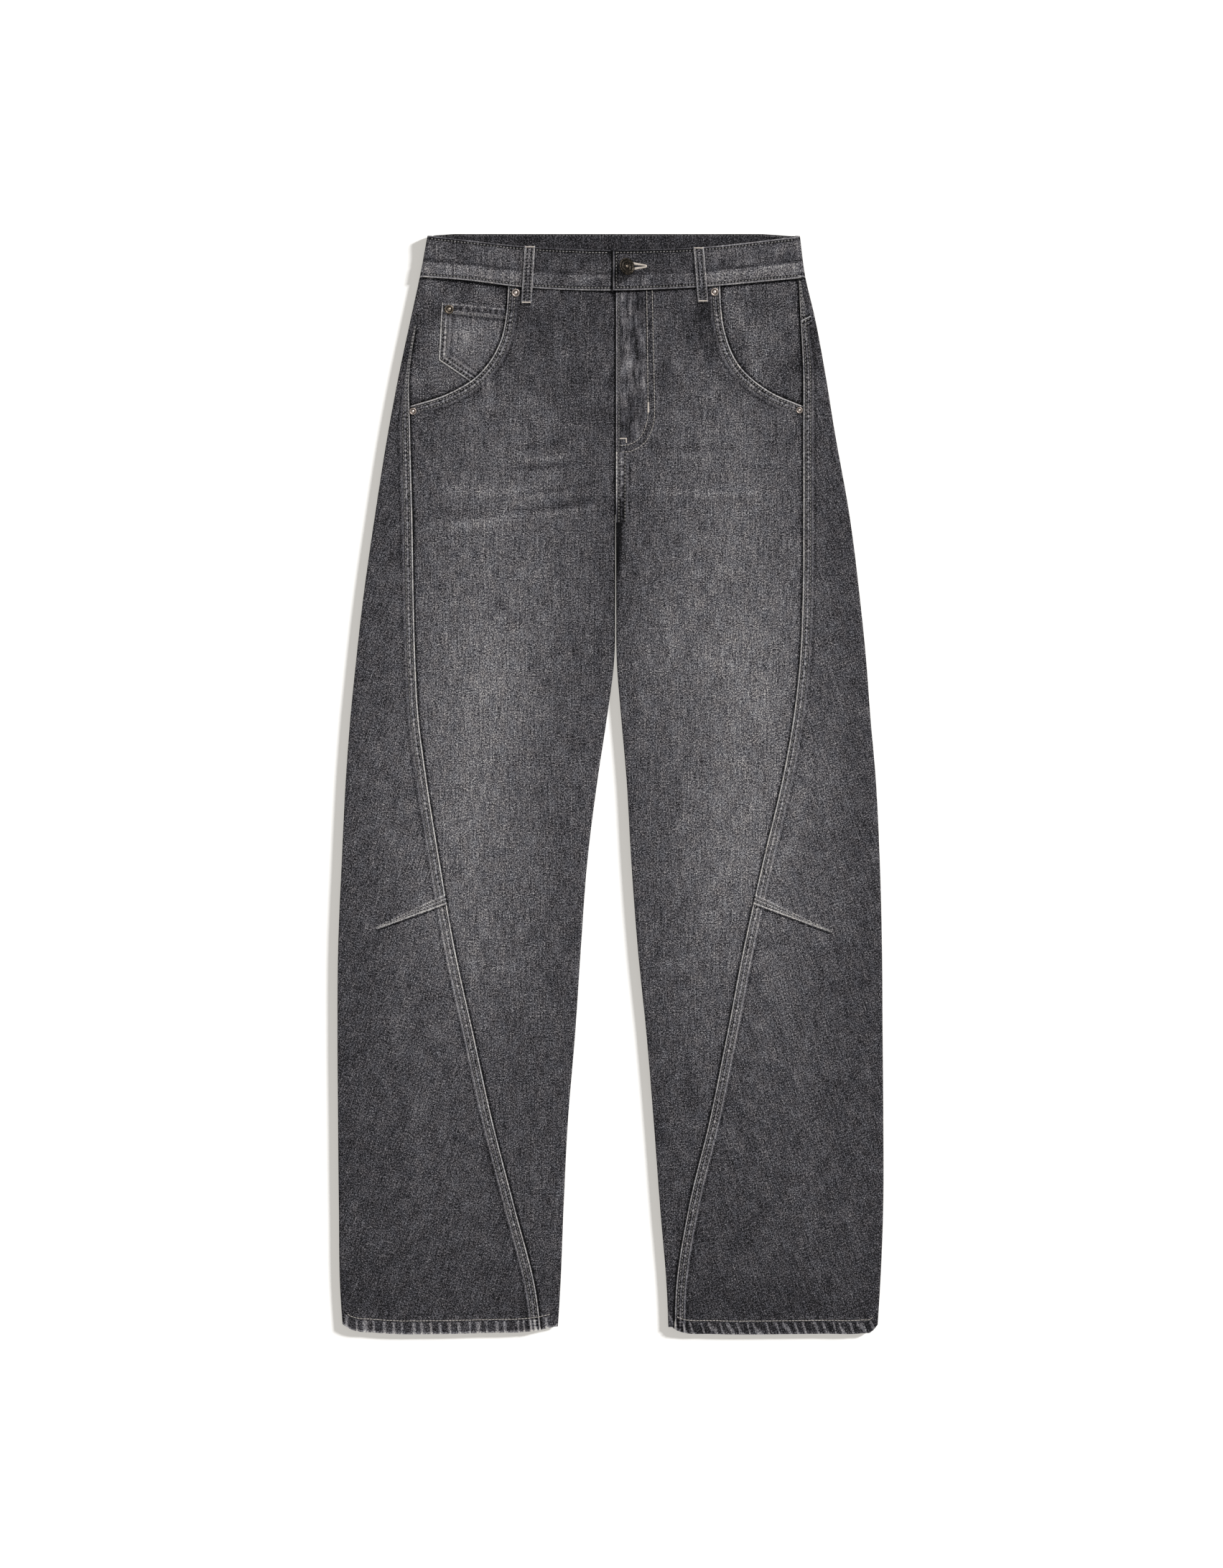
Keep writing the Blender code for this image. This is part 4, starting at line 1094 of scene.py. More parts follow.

# %% [markdown]
# ## Yokes
# Above each back panel sits the yoke, whose lower edge goes under the panel's turned edge. Only its
# front corner shows, beside the waistband, and the rest is underneath. It is made on the same line
# round the section, with a strip of painted shadow where the panel's edge and the waistband lie
# against it.

# %% Yokes
def yoke(side):
    """The back yoke, from under the waistband to the yoke seam."""
    shares = np.linspace(0, 1, 15)
    rows = BAND_BOTTOM + (YOKE_AT_FOLD - BAND_BOTTOM) * shares

    def heights(part, value, width):
        top = edge(BAND_LOWER, side.seam(rows) + side.sign * value) if part == "top" else BAND_BOTTOM
        return top - GAP + (yoke_line(part, value, width) - top + GAP) * shares

    def lift(d, x, y):
        return seam_form(d, y, 6) * (1 - seam_hidden(side, y))

    outside, inside, reach = wrapped(side, rows, heights, lift, 8, 5)
    x, y = outside[..., 0], outside[..., 1]
    top = reach < FAR
    true_reach = np.abs(x - side.seam(y))
    # Distances to the panel's edge and the waistband, which lie over the yoke and beside which the denim
    # paints a shadow.
    above = np.where(top, y - yoke_line("top", true_reach, fold_width(side, y)), FAR)
    under_band = np.where(top, edge(BAND_LOWER, x) - y, BAND_BOTTOM - y)
    lap = points(np.maximum(np.minimum(above, under_band), 0.0), x, 1.0)
    rim = points(np.where(top, reach, FAR) + FAR * seam_hidden(side, y), ALONG_FROM - y, SECOND_ROW)
    level = wash(side, x, y) + (10 if side is RIGHT else 4)
    return shell(f"back_yoke_{side.name}", outside, inside, DENIM_LOOK, level, level - INSIDE_DARKER,
                 rim=rim, lap=lap, weave=points(x, y, 5.0))


for side in SIDES:
    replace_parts(yoke(side), f"yoke_{side.name}")

# %% [markdown]
# ## The flat form of a front panel
# A front panel runs from the pocket mouth and the swept seam to the fly, and below the crotch to the
# inseam. A grid between the two long edges is the natural form. Its first columns keep their
# distance from the mouth, so that the rounded edge follows the scoop.

# %% The flat form of a front panel
MOUTH_ROWS = 74
MIDDLE_COLUMNS = 56
MOUTH_ENDS = 349.0
FLY_COLUMNS = np.array([14.0, 9.4, 8.4, 7.4, 5.2, 3.8, 3.1, 2.4, 1.4, 0.8, 0.35])
FLY_SECOND_ROW = 8.4
NEAR_SHARE = 0.35


def meet_band(flat, rows):
    """Move the first rows of a grid up or down, so that the first one follows the waistband's edge."""
    away = edge(BAND_LOWER, flat[0, :, 0]) - GAP - flat[0, :, 1]
    flat[..., 1] += away * np.clip(1 - np.arange(len(flat))[:, None] / rows, 0, 1)


def front_flat(side):
    """Flat grid from the panel's outer to its middle edge, and how high each row ends there."""
    rows = np.arange(MOUTH_ENDS, HEM_ROW - 0.1, -ROW_SPACING)
    rows = np.unique(np.concatenate([rows, [HEM_ROW, HEM_ROW + 1.0, HEM_LINE]]))[::-1]
    shares = np.linspace(0, 1, MOUTH_ROWS)
    mouth, mouth_normal = scoop_point(side, shares)
    mouth[-1, 0] = side.front_seam(mouth[-1, 1])
    start = np.concatenate([mouth, np.stack([side.front_seam(rows), rows], axis=-1)])
    normal = np.concatenate([mouth_normal, np.tile([-side.sign, 0.0], (len(rows), 1))])
    fly_top = edge(BAND_LOWER, FLY_EDGE) - GAP
    stop_y = np.concatenate([np.linspace(fly_top, SCOOP_LAST_AT_FLY, MOUTH_ROWS), rows])
    stop_x = side.front_end(stop_y) + side.sign * side.front_turn(stop_y)
    stop = np.stack([stop_x, stop_y], axis=-1)

    reach = np.linalg.norm(stop - start, axis=-1)[:, None]
    near = np.minimum(1.0, NEAR_SHARE * reach / SEAM_COLUMNS[-1])
    far = np.minimum(1.0, NEAR_SHARE * reach / FLY_COLUMNS[0])
    foot = start + normal * SEAM_COLUMNS[-1] * near
    length = np.linalg.norm(stop - foot, axis=-1)[:, None]
    back_along = (foot - stop) / length
    last = stop + back_along * (FLY_COLUMNS[0] + 1.0) * far
    flat = [start + normal * d * near for d in SEAM_COLUMNS]
    flat += [foot + (last - foot) * t for t in np.linspace(0, 1, MIDDLE_COLUMNS)[1:]]
    flat += [stop + back_along * d * far for d in FLY_COLUMNS]
    flat = np.stack(flat + [stop], axis=1)
    meet_band(flat, 14)
    guide = np.concatenate([np.full(MOUTH_ROWS, 0.0), rows])[:, None]
    flat[..., 1] += (side.hem(flat[..., 0]) - HEM_ROW) * (1 - step(guide, HEM_ROW, HEM_BENDS))
    return flat, stop_y

print("front grids:", [front_flat(side)[0].shape[:2] for side in SIDES])

# %% [markdown]
# ## The J of the fly
# The fly is held by two rows of stitches that run down beside it and bend to its edge in a J. A
# line straight down and a quarter of a squarish oval make it, and moved inward it is the second
# row.

# %% The J of the fly
J_TOP = 473.0
J_ROW_GAP = 6.3
J_TOP_GAP = 5.2
J_WIDE = (39.9, 42.3)


def j_path(inset):
    """The J of the fly stitching, moved inward by inset: straight down, then round to the edge."""
    y = np.arange(J_TOP, J_CURVE_TOP, -5.0)
    up = (y - J_CURVE_TOP) / (J_TOP - J_CURVE_TOP)
    wide = J_WIDE[1] + (J_WIDE[0] - J_WIDE[1]) * up
    straight = np.stack([wide - inset * (1 + (J_TOP_GAP / J_ROW_GAP - 1) * up), y], axis=-1)
    turn = np.linspace(0, pi / 2, 15)
    centre_x, centre_y = FLY_EDGE + 3.0, J_CURVE_TOP
    rx, ry = J_WIDE[1] - inset - centre_x, J_CURVE_TOP - J_CURVE_END - inset
    bend = np.stack([centre_x + rx * np.cos(turn) ** 0.8, centre_y - ry * np.sin(turn) ** 0.9], axis=-1)
    return np.concatenate([straight, bend])


J_LINE = Line(j_path(0.0))
J_INNER, J_OUTER = Line(j_path(J_ROW_GAP)), Line(j_path(-J_ROW_GAP))
print("the J is", round(J_LINE.knots[-1]), "mm long")

# %% [markdown]
# ## Front panels
# The pocket mouth is a turned edge with two rows of stitches, and the left panel laps over the
# right one at the fly. The flat grid is lifted to the height of the leg, and its inner edge turns
# under. Its points carry the distance to the mouth, the fly, the J and the seams.

# %% Front panels
def front(side):
    """The front panel, with its pocket mouth and its fly edge."""
    flat, stop_y = front_flat(side)
    x, y = flat[..., 0], flat[..., 1]
    z = side.height(x, y)
    scoop_d, scoop_s = SCOOP_LINE[side.name].near(x, y)
    raised = seam_form(scoop_d, scoop_s, 7) * (scoop_d < SEAM_COLUMNS[-1])
    raised = raised * step(y, MOUTH_ENDS, YOKE_BENDS)
    if side.name == "left":
        from_edge = x - FLY_EDGE
        raised = np.maximum(raised, (seam_form(from_edge, y, 8) - 0.3) * step(y, 240.0, 250.0))
    outside = [points(x, y, z + raised)]
    inside = [points(x, y, z - wall(y))]
    ends = (side.front_end(stop_y), side.front_turn(stop_y))
    turned_y = flat[:, -1, 1]
    for angle in np.linspace(90, 0, 8)[1:]:
        for depth, grid in ((0.0, outside), (wall(stop_y), inside)):
            px, pz = inner_fold(side, stop_y, angle, depth, *ends)
            grid.append(points(px, turned_y, pz)[:, None])
    outside, inside = np.concatenate(outside, axis=1), np.concatenate(inside, axis=1)

    x, y = outside[..., 0], outside[..., 1]
    scoop_d, scoop_s = SCOOP_LINE[side.name].near(x, y)
    rim_d, rim_s, second = scoop_d + FAR * (1 - step(y, 350.0, 358.0)), scoop_s, SECOND_ROW + 0 * x
    # Edges that lie over this panel, beside which the denim paints a shadow: the swept seam, the waistband
    # and, on the right panel, the fly.
    lap = nearer(SEAM_LINE[side.name].near(x, y), BAND_LINE.near(x, y))
    if side.name == "left":
        fly_d = np.abs(x - FLY_EDGE) + FAR * (1 - step(y, 246.0, 250.0))
        second = np.where(fly_d < rim_d, np.where(y < J_CURVE_END, FLY_SECOND_ROW, ONE_ROW), second)
        rim_d, rim_s = nearer((fly_d, ALONG_FROM - y), (rim_d, rim_s))
        rows_d, rows_s = J_LINE.near(x, y)
        inside_j = J_INNER.near(x, y)[0] < J_OUTER.near(x, y)[0]
        rows = points(np.where(inside_j, rows_d, -rows_d), rows_s, J_ROW_GAP)
        on_fly = inside_j * step(rows_d, J_ROW_GAP + 0.5, J_ROW_GAP + 3)
        on_fly = on_fly * step(x, FLY_EDGE + 2, FLY_EDGE + 5)
    else:
        lap = nearer((np.maximum(FLY_EDGE - x, 0.0), y), lap)
        rows = points(np.full_like(x, -FAR), 0.0, 0.0)
        on_fly = 0.0
    rub = points(1 - 0.3 * on_fly, on_fly, 0.0)
    hem = points(y - side.hem(x), x + 40.0 * side.sign, 1.0)
    level = wash(side, x, y)
    if side.name == "left":
        # Painted shade, 60 levels darker, where the left front turns under below the crotch.
        crotch_turn_shade = step(y, 170.0, 215.0) * (1 - step(y, 262.0, 280.0))
        level = level - 60 * crotch_turn_shade * (1 - step(x, 4.0 + 0.05 * (y - 170.0), 9.0 + 0.09 * (y - 170.0)))
    return shell(f"front_panel_{side.name}", outside, inside, DENIM_LOOK, level, level - INSIDE_DARKER,
                 rim=points(rim_d, rim_s, second), lap=points(*lap, 1.0), rows=rows, hem=hem,
                 weave=points(x, y, 8.0 + side.sign), rub=rub)


for side in SIDES:
    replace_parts(front(side), f"front_{side.name}")

# %% [markdown]
# ## Hip facings and the coin pocket
# In each pocket mouth shows the denim facing that is sewn to the pocket bag, and on the right one a
# small coin pocket. Both are patches between a free edge and one tucked under the front panel, so
# each is a grid between two lines, laid just under the front.

# %% Hip facings and the coin pocket
def facing_height(side, x, y):
    """Outer face of the hip facing, deep enough under the front to take the coin pocket."""
    room = POCKET_WALL + GAP if side.name == "right" else 0.0
    from_seam = step(np.abs(x - side.seam(y)), 0.0, SINK_FROM_SEAM)
    from_band = step(edge(BAND_LOWER, x) - y, 0.0, SINK_FROM_BAND)
    level_with_yoke = (DENIM + GAP - 0.1) * (1 - from_seam) * seam_hidden(side, y)
    return side.height(x, y) - DENIM - GAP - room * from_seam * from_band + level_with_yoke


def facing(side):
    """The denim facing behind the pocket mouth."""
    shares = np.linspace(0, 1, 60)
    tucked, inward = scoop_point(side, shares)
    tucked = tucked + inward * FACING_TUCK
    seam_y = FACING_TOP + (FACING_END - FACING_TOP) * shares
    free = np.stack([side.front_seam(seam_y), seam_y], axis=-1)
    across = np.linspace(0, 1, 60)[None, :, None]
    flat = free[:, None] * (1 - across) + tucked[:, None] * across
    meet_band(flat, 8)
    x, y = flat[..., 0], flat[..., 1]
    z = facing_height(side, x, y)
    seam_d, seam_s = SEAM_LINE[side.name].near(x, y)
    seam = (seam_d + FAR * seam_hidden(side, y), seam_s)
    # Edges that lie over the facing, beside which the denim paints a shadow: the waistband, the swept seam
    # and the pocket mouth.
    lap = nearer(BAND_LINE.near(x, y), nearer(seam, SCOOP_LINE[side.name].near(x, y)))
    patch = bell(np.abs(x), 150, 30) * bell(y, 425, 34)
    level = FACING_LEVEL + 14 * patch + 14 * clouds(x, y, 20, 28, 12) + 9 * clouds(x, y, 8, 11, 13)
    return shell(f"hip_facing_{side.name}", points(x, y, z), points(x, y, z - POCKET_WALL), DENIM_LOOK,
                 level, level - INSIDE_DARKER, lap=points(*lap, 1.0),
                 weave=points(x, y, 11.0 + side.sign), rub=(1.1, 0, 0))


COIN_HEM = 9.0


def coin_pocket():
    """The coin pocket: a hemmed patch with its point under the pocket mouth."""
    side = RIGHT
    tucked, inward = scoop_point(side, np.linspace(*COIN_MOUTH, 90))
    tucked = tucked + inward * COIN_TUCK
    knots = np.linspace(0, 1, len(COIN_EDGE))
    free = place_at(np.linspace(0, 1, 90), knots, np.array(COIN_EDGE))
    near = np.array([0.0, 0.004, 0.01, 0.02, 0.03, 0.045, 0.07, 0.1, 0.13, 0.15])
    across = np.concatenate([near, np.linspace(0.165, 1, 56)])[None, :, None]
    flat = free[:, None] * (1 - across) + tucked[:, None] * across
    x, y = flat[..., 0], flat[..., 1]
    top_d = Line([COIN_EDGE[0], tuple(tucked[0])]).near(x, y)[0]
    side_d, side_s = Line(COIN_EDGE).near(x, y)
    rim_d = np.minimum(top_d, side_d)
    form = np.interp(rim_d, [0.0, 0.4, 1.0, 1.9, 3.0, 20.0], [-0.35, 0.0, 0.12, -0.06, 0.0, 0.0])
    hem = 0.3 * (1 - step(top_d, COIN_HEM, COIN_HEM + 1.2))
    z = facing_height(side, x, y) + GAP
    rim = points(side_d + FAR * (top_d < np.minimum(side_d, COIN_HEM)), side_s, SECOND_ROW)
    # The pocket mouth lies over the patch, and the denim paints a shadow beside it.
    scoop_d, scoop_s = SCOOP_LINE["right"].near(x, y)
    level = COIN_LEVEL + 24 * bell(x, -140, 17) * bell(y, 424, 22)
    # Painted shadow in a line just below the hem's stitching.
    level = level + 8 * clouds(x, y, 7, 9, 15) - 34 * bell(top_d, COIN_HEM + 2.2, 1.3)
    level = level + 26 * bell(top_d, 0.9, 0.9) + 16 * bell(top_d, 7.6, 0.9)
    squares = step(np.cos(2 * pi * (x + 0.8 * wander(x, 9.0, 16)) / 5.7), -0.35, 0.35)
    level = level - 38 * squares * step(top_d, 1.6, 2.6) * (1 - step(top_d, 5.6, 6.8))
    return shell("coin_pocket_patch", points(x, y, z + POCKET_WALL + form + hem), points(x, y, z),
                 DENIM_LOOK, level, rim=rim, lap=points(scoop_d, scoop_s, 1.0),
                 weave=points(x, y, 14.0), rub=(0.9, 0, 0))


for side in SIDES:
    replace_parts(facing(side), f"facing_{side.name}")
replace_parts(coin_pocket(), "coin_pocket")

# %% [markdown]
# ## Waistband
# The waistband is one folded strip all round. Laid flat it dips at the front, so the inside of its
# back shows above it, and its left end laps over the right one at the button. The grid goes once
# round it, from the end under the lap to the end on top. A crease runs along the middle, with the
# cloth below it rubbed lighter, and its lower edge is a worn ridge.

# %% Waistband
BAND_UP = np.array([0, 0.35, 0.9, 1.5, 2, 2.6, 3.3, 4.4, 6, 8.5, 11, 13.5, 15.5, 17, 18.5, 20.5, 23, 26,
                    29, 32, 34.4, 35.6, 36.3, 36.9, 37.5, 38])
BAND_TALL = 38.0
BAND_FORM = [
    (0, -0.35), (0.35, 0.05), (0.9, 0.24), (1.7, 0.12), (2.6, -0.16), (3.4, 0.08), (8, 0.1), (13, 0.12),
    (15.5, -0.42), (17.5, 0.02), (30, 0.05), (35.2, 0.05), (36.4, -0.15), (37.2, 0.1), (37.7, -0.05),
    (38, -0.4)
]


def band_stations():
    """Stations round the band: part and value, front by x, folds by angle and back by x."""
    stations = [("front", x, 0.0) for x in np.arange(35.0, -176.0, -1.6)]
    stations += [("right", a, 0.0) for a in np.linspace(90, -90, 13)]
    stations += [("back", x, 0.0) for x in np.linspace(-168.0, 172.0, 110)]
    stations += [("left", a, 0.0) for a in np.linspace(-90, 90, 13)]
    stations += [("front", x, 1.0) for x in np.arange(179.0, BAND_END + 0.9, -1.6)]
    return stations + [("front", BAND_END + d, 1.0) for d in (0.8, 0.35, 0.0)]

print(len(band_stations()), "stations round the band")

# %% [markdown]
# ## The strip of the waistband
# The band's section is repeated at each station. The front ones follow its two curved edges, the
# back ones lie on the table and the folds join them. A Boolean then cuts the buttonhole, because a
# hole left open in the grid would disturb its rows.

# %% The strip of the waistband
def waistband():
    """The whole strip. Its points carry how far they are from the nearer edge and how far along."""
    shares = BAND_UP / BAND_TALL
    form = edge(BAND_FORM, BAND_UP)
    outside, inside = [], []
    for part, value, lapped in band_stations():
        if part == "front":
            low, high = curve(BAND_LOWER, value), curve(BAND_UPPER, value)
            y = low + (high - low) * shares
            ripple = 0.22 * wander(value, 6.0, 21) * bell(BAND_UP, 6, 6)
            ripple = ripple + 0.25 * wander(value + 1.2 * BAND_UP, 13.0, 22) * np.sin(pi * shares)
            end = -0.4 * (1 - step(value - BAND_END, 0.0, 0.9)) + 0.25 * bell(value, 3.9, 1.0)
            z = BAND_HEIGHT + lapped * (BAND_WALL + GAP) * (1 - step(value, *BAND_LAP_RAMP))
            ripple = np.maximum(ripple, -0.15) if value < 40 else ripple
            raised = form + ripple + lapped * end + creases(value, y, CREASE_LIFT)
            outside.append(points(value, y, z + raised))
            inside.append(points(value, y, z - BAND_WALL))
        elif part == "back":
            y = BAND_BOTTOM + (edge(BAND_BACK, value) - BAND_BOTTOM) * shares
            outside.append(points(value, y, 0.0))
            inside.append(points(value, y, BAND_WALL + 0.3 * form))
        else:
            side = RIGHT if part == "right" else LEFT
            y = BAND_BOTTOM + (BAND_TOP - BAND_BOTTOM) * shares
            centre = side.outer(y) - side.sign * BAND_TURN
            half = BAND_HEIGHT / 2
            c, s = cos(radians(value)), sin(radians(value))
            keep = form * max(0.0, s)
            outside.append(points(centre + side.sign * BAND_TURN * c, y, half + half * s + keep))
            inside.append(points(centre + side.sign * (BAND_TURN - BAND_WALL) * c, y,
                                 half + (half - BAND_WALL) * s))
    outside, inside = np.stack(outside, axis=1), np.stack(inside, axis=1)
    s, up = np.meshgrid(knots_of(outside.mean(axis=0)), BAND_UP)
    d = np.minimum(up, BAND_TALL - up)
    x, y, z = outside[..., 0], outside[..., 1], outside[..., 2]
    on_top, in_front = z > BAND_HEIGHT - 3, z > BAND_HEIGHT - 1.5
    lapped = np.arange(s.shape[1]) > s.shape[1] / 2
    d = np.minimum(d, np.where(lapped & in_front, x - BAND_END, FAR))
    aside = step(np.abs(x), 60.0, 100.0)
    fold = 15.4 + 0.9 * wander(s, 11.0, 22)
    lower = (1 - step(up, fold - 1.8, fold - 0.4)) * (0.85 + 0.3 * wander(s, 8.0, 23))
    level = BAND_LEVEL + 9 * clouds(s, up, 7, 6, 25)
    # Painted shade darkens the crease's trough along the middle; below it the cloth is rubbed lighter.
    level = level + 15 * aside + (15 + 8 * aside) * lower - (8 + 18 * aside) * bell(up, fold, 1.4)
    level = level + 9 * aside * bell(up, fold - 3.0, 1.6)
    level = level + 7 * clouds(s, up, 12, 7, 24) + 6 * clouds(s, up, 34, 12, 25)
    level = level + 9 * wander(s + 0.3 * up, 4.6, 26) * bell(up, 6, 5)
    # Creases on the band's top: the wash's wear, and painted shade in the troughs.
    level = level + creases(x, y, CREASE_WEAR_AND_SHADE) * on_top
    top_ridge = bell(BAND_TALL - up, 0.8, 1.1) * on_top
    level = level - top_ridge * (52 - 18 * step(-x, 100, 130) - 46 * step(x, 80, 110))
    # The left end lies over the right one, and the denim paints a shadow beside its edge.
    lap = points(np.where(~lapped & in_front, np.maximum(BAND_END - x, 0.0), FAR), y, 1.0)
    band = shell("waistband_strip", outside, inside, DENIM_LOOK, level, BAND_INSIDE_LEVEL,
                 rim=points(d, s, ONE_ROW), lap=lap, weave=points(s, up, 17.0), rub=(0.95, 0, 0))
    cut_buttonhole(band)
    return band


def cut_buttonhole(band):
    """The hole through the band's left end that the button's shank stands in."""
    bpy.ops.mesh.primitive_cylinder_add(vertices=24, radius=BUTTONHOLE * MM, depth=BUTTONHOLE * MM,
                                        location=Vector((*BUTTON, BAND_HEIGHT + 2.2)) * MM)
    cutter = bpy.context.object
    cut = band.modifiers.new("buttonhole", "BOOLEAN")
    cut.operation = "DIFFERENCE"
    cut.object = cutter
    bpy.context.view_layer.update()
    evaluated = band.evaluated_get(bpy.context.evaluated_depsgraph_get())
    whole = band.data
    band.data = bpy.data.meshes.new_from_object(evaluated)
    band.modifiers.clear()
    print("buttonhole cut:", len(whole.polygons), "faces before,", len(band.data.polygons), "after")
    bpy.data.meshes.remove(whole)
    bpy.data.objects.remove(cutter, do_unlink=True)


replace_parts(waistband(), "waistband")

# %% [markdown]
# ## Belt loops
# A belt loop is a strip folded in three and stitched along both sides, bowed up over the waistband
# and sewn flat at its ends. Its long edges are rubbed pale. A grid of a few columns across is
# enough, because its form is the same all along.

# %% Belt loops
LOOP_ACROSS = np.array([-5, -4.8, -4.3, -3.6, -3, -2.2, -1, 0, 1, 2.2, 3, 3.6, 4.3, 4.8, 5])
LOOP_FORM = np.array([-0.6, -0.1, 0.08, -0.04, -0.12, 0.02, 0.08, 0.10, 0.08, 0.02, -0.12, -0.04, 0.08,
                      -0.1, -0.6])
LOOP_LENGTH = 55


def loop_place(side, shares):
    """The loop's middle line, some shares of the way down it."""
    top, bottom = np.array(LOOP_ENDS[side.name])
    return (top + (bottom - top) * np.asarray(shares)[..., None]).T


def loop_low(side, x, y, shares):
    """Underside of the loop: on the panel at its foot, stepping up onto the waistband."""
    bow = curve(LOOP_RISE, shares)
    band_edge = edge(BAND_LOWER, LOOP_ENDS[side.name][1][0])
    panel = side.height(x, np.minimum(y, band_edge)) + GAP + 0.35
    on_band = step(y, band_edge + LOOP_STEP_DOWN[0], band_edge + LOOP_STEP_DOWN[1])
    return panel + (BAND_HEIGHT + GAP + 0.35 - panel) * on_band + bow


def belt_loop(side):
    """One belt loop."""
    shares = np.linspace(0, 1, 60)
    x, y = loop_place(side, shares)
    low = loop_low(side, x, y, shares)[:, None]
    ends = -0.5 * (1 - step(shares, 0, 0.012)) - 0.5 * step(shares, 0.988, 1.0)
    wave = 0.1 * wander(shares * LOOP_LENGTH, 5.0, 31 + side.sign)
    across = LOOP_ACROSS * LOOP_WIDTH / 10
    grid_x = x[:, None] + across
    rim = points(LOOP_WIDTH / 2 - np.abs(across) + 0 * grid_x, shares[:, None] * LOOP_LENGTH, ONE_ROW)
    level = LOOP_LEVEL + 8 * clouds(grid_x, y[:, None] + 0 * grid_x, 3, 9, 33 + side.sign)
    level = level + 12 * bell(shares, 0.15, 0.2)[:, None]
    wall_top = LOOP_WALL + LOOP_FORM + (ends + wave)[:, None]
    return shell(f"belt_loop_strip_{side.name}", points(grid_x, y[:, None], low + wall_top),
                 points(grid_x, y[:, None], low), DENIM_LOOK, level, rim=rim,
                 weave=points(grid_x, y[:, None], 20.0 + side.sign), rub=(1.1, 0, 0))


for side in SIDES:
    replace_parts(belt_loop(side), f"belt_loop_{side.name}")

# %% [markdown]
# ## Thread
# Most of the sewing is a grey thread, and that of the fly and the hems is paler. Each stitch is a
# short bead of yarn that dives into the cloth at both ends, so it is modelled as five rings of six
# points. Thousands of them are made at once from arrays: the middles of all stitches on all rows,
# times one small form.

# %% Thread
STITCH_HALF = 1.12
STITCH_RADIUS = 0.36
RINGS = np.array([-1.0, -0.72, 0.0, 0.72, 1.0])
RING_RADIUS = np.array([0.35, 0.85, 1.0, 0.85, 0.35])
RING_RISE = np.array([-0.30, -0.02, 0.12, -0.02, -0.30]) / 0.27
SIDES_OF_THREAD = 6
HEM_MIDDLE = -512.0


def thread_material(name, colour, level):
    """Cotton thread: twisted, a little uneven in tone, dull."""
    made, shader = material(name)
    x, y = object_place()[:2]
    stained = noise(join(x / (6 * MM), y / (6 * MM)), 1.0)
    fine = noise(join(x / (0.5 * MM), y / (0.5 * MM)))
    shade = (level + stained * 0.12 + fine * 0.08).most(0.05)
    colour = Wire.node("ShaderNodeCombineColor", Red=shade * colour[0], Green=shade * colour[1],
                       Blue=shade * colour[2])
    bump = Wire.node("ShaderNodeBump", Height=(x + y).wave(0.5 * MM), Strength=0.6, Distance=0.06 * MM)
    plug(shader, Base_Color=colour, Roughness=0.8 + fine * 0.05, Normal=bump, Specular_IOR_Level=0.2)
    return made


GREY_THREAD = thread_material("thread_grey", (1.0, 0.96, 0.92), 0.31)
FLY_THREAD = thread_material("thread_fly_cream", (1.0, 0.93, 0.86), 0.50)
CREAM_THREAD = thread_material("thread_cream", (1.0, 0.90, 0.80), 0.66)


def ring_faces(count, around):
    """Faces between neighbouring rings of points, numbered ring by ring."""
    i, j = np.meshgrid(np.arange(count - 1), np.arange(around), indexing="ij")
    low, high, k = i * around, (i + 1) * around, (j + 1) % around
    return np.stack([low + j, low + k, high + k, high + j], axis=-1).reshape(-1, 4)


def beads(centres, runs, half, radius):
    """Points and faces of one bead of thread at each centre, along its run, rising in its middle."""
    runs = unit(runs)
    across = unit(np.cross(runs, [0.0, 0.0, 1.0]))
    ups = np.cross(across, runs)
    turns = np.linspace(0, 2 * pi, SIDES_OF_THREAD, endpoint=False)
    ring = (centres[:, None] + runs[:, None] * (RINGS[None] * half[:, None])[..., None]
            + ups[:, None] * (RING_RISE * radius)[None, :, None])
    circle = (across[:, None, None] * np.cos(turns)[None, None, :, None]
              + ups[:, None, None] * np.sin(turns)[None, None, :, None])
    co = ring[:, :, None] + circle * (RING_RADIUS * radius)[None, :, None, None]
    last = (len(RINGS) - 1) * SIDES_OF_THREAD
    caps = [[1, 2, 3, 0], [3, 4, 5, 0], [last + 3, last + 2, last + 1, last],
            [last + 5, last + 4, last + 3, last]]
    quads = np.concatenate([ring_faces(len(RINGS), SIDES_OF_THREAD), caps])
    offsets = np.arange(len(centres)) * (last + SIDES_OF_THREAD)
    faces = (offsets[:, None, None] + quads[None]).reshape(-1, 4)
    return co.reshape(-1, 3), faces.tolist()


def stitch_rows(name, rows, seed, look=None, half=STITCH_HALF, radius=STITCH_RADIUS):
    """One mesh of all the stitches on some rows. A row is its points, in millimetres."""
    chance = np.random.default_rng(seed)
    centres, runs = [], []
    for row in rows:
        knots = knots_of(row)
        middle = np.arange(PITCH / 2, knots[-1], PITCH)
        at = [place_at(middle + d, knots, row) for d in (0, -0.8, 0.8)]
        centres.append(at[0] + chance.normal(0, 0.05, at[0].shape) * [1, 1, 0.3])
        runs.append(at[2] - at[1] + chance.normal(0, 0.06, at[0].shape) * [1, 1, 0])
    centres, runs = np.concatenate(centres), np.concatenate(runs)
    lengths = half * chance.uniform(0.9, 1.08, len(centres))
    print(f"{name}: {len(centres)} stitches")
    return finish_mesh(name, *beads(centres, runs, lengths, radius), look or GREY_THREAD)

